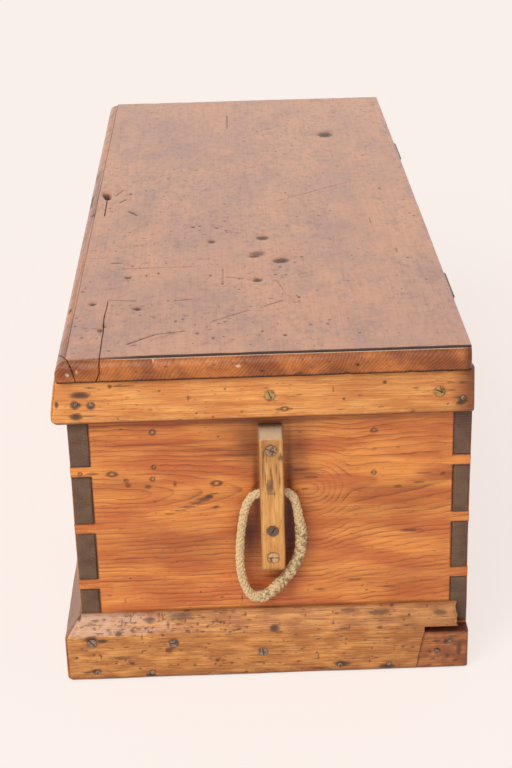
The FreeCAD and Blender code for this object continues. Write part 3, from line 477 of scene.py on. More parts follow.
# Meshes: grids of cells whose outer faces make a closed skin
# A point nearer than TOUCH lies on a plane, a normal over FACING looks along an axis, and a share of a
# board's depth over SURFACE is its face
TOUCH = 0.01 * MM
FACING = 0.7
SURFACE = 0.99
LINE_GAP = 0.12 * MM
EDGE_LINES = (0.12, 0.3, 0.55, 0.8, 1.0)
WAVE_COUNT = 10
MERGE_DISTANCE = 1e-6
LEAST_LENGTH = 1e-12
SHARP_ANGLE = math.radians(42)


def bell(offset, reach):
    """1 at no offset, falling away over a reach."""
    return np.exp(-(offset / reach) ** 2)


def ramp(distance, length):
    """0 until a distance starts, then rising evenly to 1 over a length."""
    return np.clip(distance / length, 0, 1)


def fade(distance, length):
    """1 until a distance starts, then falling evenly to 0 over a length."""
    return 1 - ramp(distance, length)


def rounding(inset, radius):
    """How far a round edge falls back at a distance in from it."""
    near = np.clip(radius - inset, 0, radius)
    return radius - np.sqrt(radius ** 2 - near ** 2)


def ticks(low, high, step, edge, *more):
    """Grid lines from low to high about a step apart, closer within an edge at both ends so that it can be
    rounded, and with more lines where detail needs them."""
    count = max(1, round((high - low) / step))
    near = np.array(EDGE_LINES) * edge
    more = [np.atleast_1d(lines) for lines in more]
    lines = np.concatenate([np.linspace(low, high, count + 1), low + near, high - near, *more])
    lines = np.unique(lines[(lines >= low) & (lines <= high)])
    keep = np.concatenate([[True], np.diff(lines) > LINE_GAP])
    keep[-1] = True
    return lines[keep]


def middles(lines):
    return (lines[:-1] + lines[1:]) / 2


def skin(lines, solid=None):
    """Points and outward faces of the solid cells of a grid."""
    shape = tuple(len(axis) - 1 for axis in lines)
    full = np.zeros(tuple(count + 2 for count in shape), bool)
    full[1:-1, 1:-1, 1:-1] = True if solid is None else solid
    strides = np.array((len(lines[1]) * len(lines[2]), len(lines[2]), 1))
    faces = []
    for axis in range(3):
        before, after = [slice(1, -1)] * 3, [slice(1, -1)] * 3
        before[axis] = slice(0, -1)
        after[axis] = slice(1, None)
        low, high = full[tuple(before)], full[tuple(after)]
        first, second = strides[(axis + 1) % 3], strides[(axis + 2) % 3]
        for found, flip in ((low & ~high, False), (high & ~low, True)):
            base = np.argwhere(found) @ strides
            ring = [base, base + first, base + first + second, base + second]
            faces.append(np.stack(ring[::-1] if flip else ring, axis=1))
    used, faces = np.unique(np.concatenate(faces), return_inverse=True)
    grid = np.stack(np.meshgrid(*lines, indexing="ij"), axis=-1).reshape(-1, 3)
    return grid[used], faces.reshape(-1, 4)


def waves(points, size, seed):
    """Smooth random heights between about -1 and 1 with hills about a size apart."""
    rng = np.random.default_rng(seed)
    ways = rng.normal(size=(WAVE_COUNT, 3))
    ways /= np.linalg.norm(ways, axis=1)[:, None]
    rates = 2 * math.pi / (size * rng.uniform(0.7, 1.7, WAVE_COUNT))
    starts = rng.uniform(0, 2 * math.pi, WAVE_COUNT)
    return np.sin(points @ (ways * rates[:, None]).T + starts).sum(axis=1) / math.sqrt(2 * WAVE_COUNT)


def rounded(points, low, high, radius):
    """Box points moved onto a box with round edges; the radius may differ from point to point."""
    radius = np.broadcast_to(np.asarray(radius, float), (len(points),))[:, None]
    core = np.clip(points, np.array(low) + radius, np.array(high) - radius)
    reach = points - core
    length = np.linalg.norm(reach, axis=1)[:, None]
    return core + reach * np.minimum(1, radius / np.maximum(length, LEAST_LENGTH))


# Marks: half width, half height and depth in mm, dirt, which in dents, bowls and holes is also painted shade
# of the hollow, and how pale the middle is: a chip's bare wood, and on the lid a painted glint
MARK_KINDS = {
    "speck": (1.8, 1.5, 0.5, 0.85, 0.0),
    "tick": (4.0, 1.3, 0.3, 0.7, 0.0),
    "slash": (1.3, 4.0, 0.4, 0.75, 0.0),
    "stain": (8.0, 4.5, 0.4, 0.93, 0.0),
    "smear": (10.0, 2.0, 0.0, 0.68, 0.0),
    "plug": (5.0, 3.6, 0.4, 1.0, 0.8),
    "chip_and_glint": (6.0, 3.0, 1.0, 0.0, 0.9),
    "dent": (5.0, 4.0, 1.8, 0.85, 0.0),
    "bowl": (5.0, 4.0, 2.6, 0.9, 0.0),
    "hole": (5.0, 4.0, 6.0, 1.0, 0.0),
}
# How steep a mark's rim is, and how much smaller its pale middle is
MARK_POWER = 1.5
MIDDLE_SHARE = 6
# Rounds that find where a ray meets a moulded face
PROFILE_ROUNDS = 8
# Seats of screws and nails: rim and depth in mm, and dirt
SEAT_RIM = 1.4
SEAT_DEPTH = 0.6
SEAT_DIRT = 0.95


def seen_on(pixel_x, pixel_y, axis, plane):
    """As seen_at, also for an end face whose X is a function of the height."""
    if not callable(plane):
        return seen_at(pixel_x, pixel_y, axis, plane)
    height = 0.0
    for _ in range(PROFILE_ROUNDS):
        across, height = seen_at(pixel_x, pixel_y, axis, plane(height))
    return across, height


def seen_marks(axis, plane, groups):
    """Marks placed by pixels of the photograph, each with its kind's size or its own."""
    found = []
    for kind, spots in groups.items():
        wide, high, *rest = MARK_KINDS[kind]
        for pixel_x, pixel_y, *size in spots:
            across, up = seen_on(pixel_x, pixel_y, axis, plane)
            found.append((across / MM, up / MM, *(size or (wide, high)), *rest))
    return found


def random_marks(seed, count, low, high, shares=(0.4, 0.3, 0.1, 0.08, 0.12)):
    """Marks of the first kinds scattered over a face between two corners, in mm."""
    rng = np.random.default_rng(seed)
    kinds = list(MARK_KINDS.values())[:len(shares)]
    found = []
    for kind in rng.choice(len(kinds), count, p=shares):
        wide, tall, *rest = kinds[kind]
        size = rng.uniform(0.6, 1.1)
        found.append((*rng.uniform(low, high), wide * size, tall * size, *rest))
    return found


def opened(mesh):
    """A mesh opened for work on its points and faces."""
    work = bmesh.new()
    work.from_mesh(mesh)
    return work


def heads(node, along):
    """Sunk seats round each screw or nail of a node, on a face whose first direction is an axis."""
    work = opened(nodes[node].data)
    bmesh.ops.remove_doubles(work, verts=work.verts, dist=MERGE_DISTANCE)
    left = set(work.verts)
    found = []
    while left:
        grown = [left.pop()]
        cluster = []
        while grown:
            vert = grown.pop()
            cluster.append(vert.co[:])
            near = [link.other_vert(vert) for link in vert.link_edges]
            near = [other for other in near if other in left]
            left.difference_update(near)
            grown.extend(near)
        low, high = np.min(cluster, axis=0) / MM, np.max(cluster, axis=0) / MM
        middle = (low + high) / 2
        reach = (high[2] - low[2]) / 2 + SEAT_RIM
        found.append((middle[along], middle[2], reach, reach, SEAT_DEPTH, SEAT_DIRT, 0))
    work.free()
    return found


def oval(across, up, place, height, wide, high):
    """Squared distance from an oval's middle, 1 on its rim. Its half sizes are in mm."""
    return ((across - place) / (wide * MM)) ** 2 + ((up - height) / (high * MM)) ** 2


def pressed(across, up, marks):
    """Depth, dirt and pale middles of marks over points of a face."""
    depth, dirt, pale = np.zeros((3, len(across)))
    for place, height, wide, high, sink, soiling_and_shading, bright in marks:
        far = oval(across, up, place * MM, height * MM, wide, high)
        near = np.exp(-far ** MARK_POWER)
        middle = np.exp(-(far * MIDDLE_SHARE) ** MARK_POWER) * bright
        depth = depth + near * sink * MM
        dirt = np.maximum(dirt, near * soiling_and_shading) * (1 - middle)
        pale = np.maximum(pale, middle)
    return depth, dirt, pale


def shaded(across, up, shades):
    """Smoke stains and painted shade and shadows over points of the end panel."""
    clear = np.ones(len(across))
    for pixel_x, pixel_y, wide, high, strength in shades:
        far = oval(across, up, *seen_at(pixel_x, pixel_y, 0, END_X), wide, high)
        clear = clear * (1 - strength * np.exp(-far))
    return 1 - clear


def face_normals(points, faces):
    corners = points[faces]
    normal = np.cross(corners[:, 2] - corners[:, 0], corners[:, 3] - corners[:, 1])
    return normal / np.maximum(np.linalg.norm(normal, axis=1), LEAST_LENGTH)[:, None]


def piece(name, points, faces, materials, body, slot, node, kinds=None, **fields):
    """One object from points and faces, riding on a body and standing for a CAD node."""
    mesh = bpy.data.meshes.new(name)
    mesh.from_pydata(points.tolist(), [], faces.tolist() if isinstance(faces, np.ndarray) else faces)
    for material in materials:
        mesh.materials.append(material)
    if kinds is not None:
        mesh.polygons.foreach_set("material_index", kinds.astype(np.int32))
    for field, values in fields.items():
        layer = mesh.attributes.new(field, "FLOAT", "POINT")
        layer.data.foreach_set("value", np.clip(values, 0, 1).astype(np.float32))
    mesh.polygons.foreach_set("use_smooth", np.ones(len(mesh.polygons), bool))
    mesh.update()
    mesh.set_sharp_from_angle(angle=SHARP_ANGLE)
    made = placed(name, mesh)
    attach(made, body)
    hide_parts(node)
    return made


# Rope beckets: the route of the CAD loop, from the cross hole round and back
BECKET_ROUTE = (
    (-3.0, 0.0), (-16.5, 0.0), (-27.5, -10.5), (-33.5, -37.0), (-37.0, -69.0), (-37.0, -97.0),
    (-31.5, -121.0), (-22.0, -132.5), (-9.0, -130.0), (5.0, -117.5), (20.0, -99.0), (31.0, -75.0),
    (31.8, -51.0), (28.8, -30.0), (26.3, -14.0), (23.0, -5.0), (15.5, 0.0), (7.0, 0.0),
)
ROPE_DIAMETER = 0.0095
ROPE_STEP = 0.0009
SPLICE_START = 0.138
SPLICE_END = 0.290
SPLICE_TAPER = 0.03
SPLICE_SWELL = 0.33
BRAID_PITCH = 0.028
BRAID_STRANDS = 5
STRAND_RADIUS = 0.0015
STRAND_LIFT = 0.4
CORE_RADIUS = ROPE_DIAMETER / 2 - STRAND_RADIUS * 0.95
CORE_SIDES = 10
STRAND_SIDES = 6
FLECK_RATE = 420
# A direction that no part of the rope runs along
ACROSS_ROPE = (1.0, 0.31, 0.17)


def evaluated(made):
    """Mesh of an object as its curve or its modifiers shape it. The object itself is removed."""
    mesh = bpy.data.meshes.new_from_object(made.evaluated_get(bpy.context.evaluated_depsgraph_get()))
    bpy.data.objects.remove(made)
    return mesh


def becket_line(side, sign):
    """Points along the rope's centre line, read from one NURBS spline through the route."""
    low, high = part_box(f"{side}_becket")
    axis_x = (low.x + high.x) / 2
    axis_z = high.z - ROPE_DIAMETER / 2
    data = bpy.data.curves.new(f"{side}_becket_route", "CURVE")
    data.dimensions = "3D"
    data.resolution_u = 16
    spline = data.splines.new("NURBS")
    spline.points.add(len(BECKET_ROUTE) - 1)
    for point, (across, up) in zip(spline.points, BECKET_ROUTE):
        point.co = (axis_x, MIDDLE_Y + across * sign * MM, axis_z + up * MM, 1.0)
    spline.order_u = 3
    spline.use_endpoint_u = True
    line = evaluated(placed(f"{side}_becket_route", data))
    points = np.array([vertex.co for vertex in line.vertices])
    bpy.data.meshes.remove(line)
    return points


def evenly(points, step):
    """The same line with its points an even step apart, and how far along each lies."""
    run = np.concatenate([[0], np.cumsum(np.linalg.norm(np.diff(points, axis=0), axis=1))])
    along = np.linspace(0, run[-1], max(2, round(run[-1] / step)))
    return np.stack([np.interp(along, run, points[:, axis]) for axis in range(3)], axis=1), along


def unit(vectors):
    return vectors / np.linalg.norm(vectors, axis=1)[:, None]


def tube(points, radii, sides):
    """Points and faces of a closed tube along a line."""
    tangent = unit(np.gradient(points, axis=0))
    first = unit(np.cross(tangent, ACROSS_ROPE))
    second = np.cross(tangent, first)
    turn = np.arange(sides) * 2 * math.pi / sides
    ring = first[:, None] * np.cos(turn)[None, :, None] + second[:, None] * np.sin(turn)[None, :, None]
    index = np.arange(len(points) * sides).reshape(len(points), sides)
    after = np.roll(index, -1, axis=1)
    faces = np.stack([index[:-1], after[:-1], after[1:], index[1:]], axis=-1).reshape(-1, 4).tolist()
    faces += [index[0][::-1].tolist(), index[-1].tolist()]
    return (points[:, None] + ring * np.asarray(radii)[:, None, None]).reshape(-1, 3), faces


def make_becket(side, sign, body):
    """A braid of strands that pass over and under each other, thicker where the rope is spliced."""
    line, along = evenly(becket_line(side, sign), ROPE_STEP)
    swell = ramp(np.minimum(along - SPLICE_START, SPLICE_END - along), SPLICE_TAPER)
    swell = swell ** 2 * (3 - 2 * swell)
    size = 1 + swell * SPLICE_SWELL + waves(line, 0.014, 5 + sign) * 0.04 * (1 + swell * 0.8)
    outward = np.zeros_like(line)
    outward[:, 0] = 1.0
    sideways = np.cross(unit(np.gradient(line, axis=0)), outward)
    # The core is painted dark as shade between the strands, and dirtier on the splice
    strands = [(line, CORE_RADIUS * size, CORE_SIDES, 0.45 + swell * 0.3)]
    for way in (1, -1):
        for strand in range(BRAID_STRANDS):
            angle = 2 * math.pi * (way * along / BRAID_PITCH + strand / BRAID_STRANDS)
            weave = np.sin(math.pi * (2 * BRAID_STRANDS * along / BRAID_PITCH + way / 2 + strand))
            reach = (CORE_RADIUS + weave * STRAND_LIFT * STRAND_RADIUS) * size
            around = outward * np.cos(angle)[:, None] + sideways * np.sin(angle)[:, None]
            path = line + around * reach[:, None]
            flecks = 0.5 + 0.5 * np.sin(along * FLECK_RATE + strand * 1.7 + way)
            # Painted shade where a strand dips under the others, and dirt flecks on the splice
            soiling_and_shading = 0.16 - 0.12 * weave + swell * 0.5 * flecks
            strands.append((path, STRAND_RADIUS * size * (1 - 0.1 * weave), STRAND_SIDES, soiling_and_shading))
    points, faces, dirt = [], [], []
    count = 0
    for path, radii, sides, soiling_and_shading in strands:
        made, rings = tube(path, radii, sides)
        points.append(made)
        faces += [[index + count for index in ring] for ring in rings]
        dirt.append(np.repeat(soiling_and_shading, sides))
        count += len(made)
    rope = piece(f"{side}_rope", np.concatenate(points), faces, [ROPE], body, "rope", f"{side}_becket",
                 dirt=np.concatenate(dirt))


make_becket("right", 1, "right_loop")
make_becket("left", -1, "left_loop")

# Case boards: the end boards carry the dovetail pins, the front and back boards the tails
PIN_PITCH = 0.0704
PIN_MIDDLE = 0.1868
PIN_HALF = 0.006
PIN_FLARE = 0.003
PINS = tuple(PIN_MIDDLE + PIN_PITCH * step for step in (-2, -1, 0, 1, 2))
JOINT_GAP = 0.0003
# Grid steps and rubbed edges of the boards, their swell, and how far the tails' ends are sunk
BOARD_STEP = 6 * MM
END_EDGE = 1.6 * MM
CORNER_EDGE = 3 * MM
PANEL_ROUND = 0.9 * MM
BOARD_SWELL = 0.25 * MM
TAIL_SINK = 0.35 * MM
# Wear of the long boards' edges: the usual depth, more of it over a reach at half height, and its range
EDGE_WEAR = 1.9 * MM
HOLLOW_WEAR = 1.8 * MM
HOLLOW_REACH = 75 * MM
WEAR_RANGE = (0.8 * MM, 4.4 * MM)


def pin_ticks(gap):
    return np.array([[pin - PIN_HALF - gap, pin + PIN_HALF + gap] for pin in PINS]).ravel()


def in_pins(heights, gap):
    return np.any([np.abs(heights - pin) < PIN_HALF + gap for pin in PINS], axis=0)


def pin_distance(heights, gap):
    """Distance to the nearest edge of a pin."""
    return np.min([np.abs(np.abs(heights - pin) - PIN_HALF - gap) for pin in PINS], axis=0)


def flared(points, gap):
    """Pins drawn wider towards the inside of the case."""
    share = ramp(np.abs(points[:, 0]) - INNER_X, END_X - INNER_X)
    moved = points.copy()
    for pin in PINS:
        off = points[:, 2] - pin
        edge = np.abs(np.abs(off) - PIN_HALF - gap) < 2 * TOUCH
        moved[edge, 2] += (np.sign(off) * PIN_FLARE * (1 - share))[edge]
    return moved


PANEL_MARKS = {
    "speck": ((120.8, 429.5), (218.3, 436.5), (362, 585.5), (366.5, 590), (201, 592), (177, 562),
              (297, 492), (155, 502), (130.5, 578.5)),
    "tick": ((216.5, 506), (222, 597), (300, 432), (110, 595.5), (305, 489, 7, 1.3)),
    "slash": ((242.5, 598, 1.2, 7), (125.5, 601, 1.2, 6), (96.6, 545, 0.9, 8)),
    "plug": ((152.3, 432.5, 5, 4.4), (112, 474.5, 7.5, 4), (153.5, 467.5, 3.6, 3.6), (152.5, 479.5, 4, 3.6),
             (216.5, 483.5, 8, 4.2), (126, 481, 3.4, 3), (374, 430.5, 5.2, 3.4), (374, 472.5, 4, 3.6),
             (80, 474, 3, 2.4)),
    "stain": ((209, 496.5, 6, 3),),
    "smear": ((203.5, 499.5, 9, 3.4), (196, 503, 11, 2.8), (187.5, 507, 11, 2.2), (178.5, 510.5, 11, 1.8),
              (170, 514, 9, 1.4), (214.5, 493.5, 6, 2), (216, 508, 9, 1.6), (388, 586, 15, 1.8),
              (320, 589, 12, 1.8), (354, 579, 13, 1.6), (398, 486, 7, 2.4), (419, 482, 9, 1.8),
              (424, 473, 11, 1.8), (443, 473, 4, 2.6), (92.5, 474, 10, 2.2), (128, 485.5, 5, 4),
              (312, 477, 14, 1.8), (300, 470, 14, 1.8), (175, 484, 3, 5), (148, 487, 5, 4),
              (110, 441.5, 16, 0.9), (410, 530, 16, 2.6)),
}
# Smoky places of the end panel, and painted shade and shadows round and beside its cleat, inside the rope
# loop, under the rail, along the plinth's top and in the recess above the patch: (pixel, half width and
# height in mm, strength)
PANEL_SHADES = (
    (250, 535, 12, 36, 0.95), (290, 532, 9, 40, 1), (284, 560, 8, 14, 0.8), (248, 445, 16, 28, 0.7),
    (232, 431, 24, 9, 0.3), (299, 444, 14, 28, 0.6), (256.5, 490, 4, 75, 0.8), (289.5, 500, 4, 85, 0.85),
    (272, 422, 22, 4, 0.85), (276, 575, 18, 3.5, 0.7), (302, 472, 22, 7, 0.5), (390, 505, 70, 26, 0.3),
    (180, 545, 80, 26, 0.28), (420, 602, 40, 4, 0.6), (260, 606.5, 220, 1.8, 0.75), (262, 421, 220, 3, 0.6),
    (440, 440, 14, 22, 0.15), (262, 588, 12, 9, 0.3), (150, 444.5, 60, 1.8, 0.5),
    (205, 449.5, 40, 2.2, 0.6), (240, 454.5, 26, 2.6, 0.7), (205, 497, 20, 6, 0.35),
    (390, 487, 60, 5, 0.25), (440, 476, 18, 5, 0.4), (120, 486, 40, 10, 0.25), (400, 578, 60, 20, 0.25),
    (461, 628, 14, 6, 1),
)
# The left end has only the smoke stains and painted shade round its cleat
LEFT_SHADES = PANEL_SHADES[:7]


def make_end_board(side, sign, step, marks, shades):
    """An end board with its pins, made for the right end and mirrored for the left one."""
    xs = ticks(INNER_X, END_X, BOARD_STEP, END_EDGE)
    ys = ticks(FRONT, BACK, step, CORNER_EDGE, INNER_FRONT, INNER_BACK)
    zs = ticks(0, CASE_TOP, step, END_EDGE, pin_ticks(0))
    core = (middles(ys) > INNER_FRONT) & (middles(ys) < INNER_BACK)
    flat = core[:, None] | in_pins(middles(zs), 0)[None, :]
    points, faces = skin((xs, ys, zs), np.broadcast_to(flat, (len(xs) - 1, *flat.shape)))
    normal = face_normals(points, faces)
    kinds = np.select([np.abs(normal[:, 1]) > FACING, normal[:, 0] < -FACING], [1, 2])
    across, up = points[:, 1], points[:, 2]
    outer = points[:, 0] > END_X - TOUCH
    depth, dirt, pale = pressed(across, up, marks)
    joint = np.minimum(np.abs(across - INNER_FRONT), np.abs(across - INNER_BACK))
    joint = bell(joint, 1.2 * MM) * ~in_pins(up, 0)
    outside = (across < INNER_FRONT) | (across > INNER_BACK)
    joint = np.maximum(joint, bell(pin_distance(up, 0), 0.8 * MM) * outside)
    dirt = np.maximum(dirt, joint * 0.7)
    points = rounded(flared(points, 0), (INNER_X, FRONT, 0), (END_X, BACK, CASE_TOP), PANEL_ROUND)
    points[outer, 0] += (waves(points, 0.12, 21) * BOARD_SWELL - depth)[outer]
    # Smoke stains, and painted shade and shadows round the cleat, in the rope loop and under the rail
    panel_stain_and_shading = shaded(across, up, shades)
    if sign < 0:
        points[:, 0] *= -1
        faces = faces[:, ::-1]
    piece(f"{side}_end_panel", points, faces, [PANEL_WOOD, END_GRAIN, INSIDE_END_WOOD], "case", "case_wood",
          f"{side}_end_board", kinds, dirt=dirt * outer, shade=panel_stain_and_shading * outer, worn=pale * outer)


def make_long_board(name, low_y, high_y, node, front, material, seed):
    """The front or back board, with its tails at both ends."""
    gap = JOINT_GAP
    inside = 1 if front else -1
    outer_y, inner_y = (low_y, high_y) if front else (high_y, low_y)
    xs = ticks(-END_X, END_X, BOARD_STEP, CORNER_EDGE, INNER_X, -INNER_X)
    ys = ticks(low_y, high_y, 5 * MM, CORNER_EDGE)
    zs = ticks(0, CASE_TOP, 4 * MM, 1.5 * MM, pin_ticks(gap))
    ends = np.abs(middles(xs)) > INNER_X
    flat = ~(ends[:, None] & in_pins(middles(zs), gap)[None, :])
    cells = [len(axis) - 1 for axis in (xs, ys, zs)]
    points, faces = skin((xs, ys, zs), np.broadcast_to(flat[:, None, :], cells))
    normal = face_normals(points, faces)
    middle = np.abs(points[faces][:, :, 0].mean(axis=1)) < INNER_X
    inward = (normal[:, 1] * inside > FACING) & middle
    kinds = np.select([np.abs(normal[:, 0]) > FACING, inward], [1, 2])
    at_end = np.abs(points[:, 0]) > END_X - TOUCH
    outer = np.abs(points[:, 1] - outer_y) < TOUCH
    seam = np.maximum(bell(points[:, 1] - inner_y, 1.6 * MM), bell(pin_distance(points[:, 2], gap), 0.9 * MM))
    marks = random_marks(seed, 70, (-530, 85), (530, 315)) + ([] if front else heads("bottom_nails", 0))
    depth, dirt, pale = pressed(points[:, 0], points[:, 2], marks)
    points = flared(points, gap)
    hollow = bell(points[:, 2] - CASE_TOP / 2, HOLLOW_REACH) * HOLLOW_WEAR
    wear = np.clip(EDGE_WEAR + hollow + 0.8 * MM * waves(points, 0.09, 31), *WEAR_RANGE)
    points = rounded(points, (-END_X, low_y, 0), (END_X, high_y, CASE_TOP), wear)
    sink = TAIL_SINK + 0.25 * MM * waves(points, 0.03, 33)
    points[at_end, 0] -= (np.sign(points[:, 0]) * sink)[at_end]
    push = (depth - waves(points, 0.15, 35) * BOARD_SWELL) * inside
    points[outer, 1] += push[outer]
    piece(name, points, faces, [material, END_GRAIN, INSIDE_WOOD], "case", "case_wood", node, kinds,
          dirt=np.maximum(seam * at_end * 0.8, dirt * outer), shade=np.zeros(len(points)), worn=pale * outer)


make_end_board("right", 1, 1.8 * MM, seen_marks(0, END_X, PANEL_MARKS), PANEL_SHADES)
make_end_board("left", -1, 4 * MM, random_marks(41, 24, (-180, 90), (195, 310)), LEFT_SHADES)
make_long_board("front_panel", FRONT, INNER_FRONT, "front_board", True, FRONT_WOOD, 11)
make_long_board("back_panel", INNER_BACK, BACK, "back_board", False, BACK_WOOD, 10)

# Rails and plinths: moulded bars, each shaped by its depth at a height above its foot
RAIL_TOP_DEPTH = 0.010
RAIL_NOSE = 0.013
RAIL_NOSE_RADIUS = 0.008
RAIL_TURN = 0.0065
PLINTH_TOP_DEPTH = 0.002
PLINTH_TOE = 0.005
BEVEL_FOOT = 0.057
EASED = 0.0012
FRONT_RAIL_ROUND = 0.005
MITRE_REACH = 0.12
PATCH_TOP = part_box("right_plinth_patch")[1].z
SCARF = 0.010
PATCH_OVERLAP = 0.0006
GAP_START = BACK - 0.050
BREAK_START = BACK - 0.012
# Where the darkening starts towards the back, how far the bevel's pale part fades, and its range
DARKENING_START = 0.08
BEVEL_FADE = 0.21
BEVEL_PALE = (0.32, 0.85)
# Torn end of the bevel at the break
TORN_LENGTH = 8 * MM
TORN_DEPTH = 0.8 * MM
# Grid of a bar: its layers off the case, its step upwards and the edges with closer lines
BAR_LAYERS = np.array((0.0, 0.35, 0.7, 1.0))
BAR_RISE = 1.8 * MM
BAR_END_EDGE = 6 * MM
BAR_TOP_EDGE = 1.5 * MM
# Wear of a bar: wide and fine rubbing, least depth, share of the depth that a mark may take, toe and ends
WIDE_RUB = 0.35 * MM
FINE_RUB = 0.15 * MM
LEAST_DEPTH = 0.5 * MM
DEEPEST_MARK = 0.6
WORN_TOE = 1.5 * MM
END_ROUND = 4 * MM


def moulded(height, depth, shoulder, slope, toe):
    """Depth of a bar at a height: round at the toe, upright to the shoulder and sloping in above it."""
    return depth - np.maximum(height - shoulder, 0) * slope - rounding(height, toe)


def rail_profile(height):
    slope = (RAIL_DEPTH - RAIL_TOP_DEPTH) / (RAIL_HEIGHT - RAIL_NOSE)
    return moulded(height, RAIL_DEPTH, RAIL_NOSE, slope, RAIL_NOSE_RADIUS)


def front_rail_profile(height):
    """The front rail's top edge is rubbed round by hands and by the lid."""
    return rail_profile(height) - rounding(RAIL_HEIGHT - height, FRONT_RAIL_ROUND)


def plinth_profile(height):
    slope = (PLINTH_DEPTH - PLINTH_TOP_DEPTH) / (PLINTH_HIGH.z - BEVEL_FOOT)
    return moulded(height, PLINTH_DEPTH, BEVEL_FOOT, slope, PLINTH_TOE)


def make_bar(name, node, profile, low_z, high_z, start, stop, mitres, turn, material, step, marks, keep=None,
             bend=None, worn=None, corners=(END_ROUND, END_ROUND), more=(), *, shade, seed):
    """A bar against the case: points are (off the case, along, up) until turn puts them in place."""
    top = high_z - low_z
    runs = ticks(start, stop, step, BAR_END_EDGE, *more)
    ups = ticks(0, top, min(step, BAR_RISE), BAR_TOP_EDGE)
    solid = None
    if keep is not None:
        flat = keep(middles(runs)[:, None], middles(ups)[None, :])
        solid = np.broadcast_to(flat, (len(BAR_LAYERS) - 1, *flat.shape))
    points, faces = skin((BAR_LAYERS, runs, ups), solid)
    share, run, up = points.T
    face = share > SURFACE
    shifts = np.linspace(-EASED, EASED, 5)
    reach = np.mean([profile(np.clip(up + shift, 0, top)) for shift in shifts], axis=0)
    place = np.stack([np.zeros_like(run), run, up], axis=1)
    rub = waves(place, 0.07, seed) * WIDE_RUB + waves(place, 0.018, seed + 1) * FINE_RUB
    ends = ((start, 1, mitres[0], corners[0]), (stop, -1, mitres[1], corners[1]))
    for end, sign, mitred, corner in ends:
        reach = reach - rounding((run - end) * sign, corner) * (1.0 if mitred else 0.5)
    off = share * np.maximum(reach + rub * share, LEAST_DEPTH)
    along = run
    for end, sign, mitred, _ in ends:
        along = along - sign * off * mitred * fade(np.abs(run - end), MITRE_REACH)
    along = bend(along, up) if bend else along
    depth, dirt, pale = pressed(along, up + low_z, marks)
    off = off - np.where(face, np.minimum(depth, off * DEEPEST_MARK), 0)
    toe = np.clip(WORN_TOE - up, 0, WORN_TOE) * (0.4 + 0.4 * waves(place, 0.025, seed + 2)) * face
    made = np.stack([off, along, up + low_z + toe], axis=1)
    bare_and_highlit = np.maximum(pale, worn(along, up) if worn else 0)
    outside = face | (up > top - 0.1 * MM)
    turned, flip = turn(made)
    piece(name, turned, faces[:, ::-1] if flip else faces, [material], "case", "trim_wood", node,
          dirt=np.where(outside, dirt, 0), worn=np.where(outside, bare_and_highlit, 0), shade=shade(along, up))


def on_right(points):
    return points + (END_X, 0, 0), False


def on_left(points):
    return points * (-1, 1, 1) - (END_X, 0, 0), True


def on_front(points):
    return np.stack([points[:, 1], FRONT - points[:, 0], points[:, 2]], axis=1), False


RAIL_MARKS = {
    "stain": ((80, 395.5, 13, 4.2), (76.5, 405.5, 6.5, 3.2), (76, 417, 8.5, 4.8), (461, 403, 6, 3.4)),
    "plug": ((284.5, 409, 6, 3.4),),
    "speck": ((118, 419.6), (196.5, 413.3), (109.5, 386.7, 2.6, 2.8), (242.1, 411.9),
              (344, 398.7, 2.4, 1.8), (384.9, 382.2, 3, 2.4), (92, 404.5, 3.4, 2.8),
              (56.5, 405.5, 2.6, 4.5), (448, 404), (213, 417), (225, 389), (159, 391)),
    "tick": ((179.7, 419.6), (127.8, 397.9), (360.5, 395.2), (381.3, 406.6, 5, 1.4), (341, 409.5, 6, 1),
             (299.5, 394.4, 4, 1.2), (89, 416.5, 9, 1.3), (150, 410), (416, 388)),
    "slash": ((188, 398, 1.2, 5.5), (333.2, 389.4, 1, 4)),
    "smear": ((278, 409.5, 3.4, 2.4), (291, 408.5, 3, 2), (458, 397, 9, 1.4), (452, 390, 10, 1.2),
              (464, 382, 7, 2), (412.8, 411, 3.6, 2.8), (90, 388, 9, 1.6), (120, 386, 24, 1.4)),
}
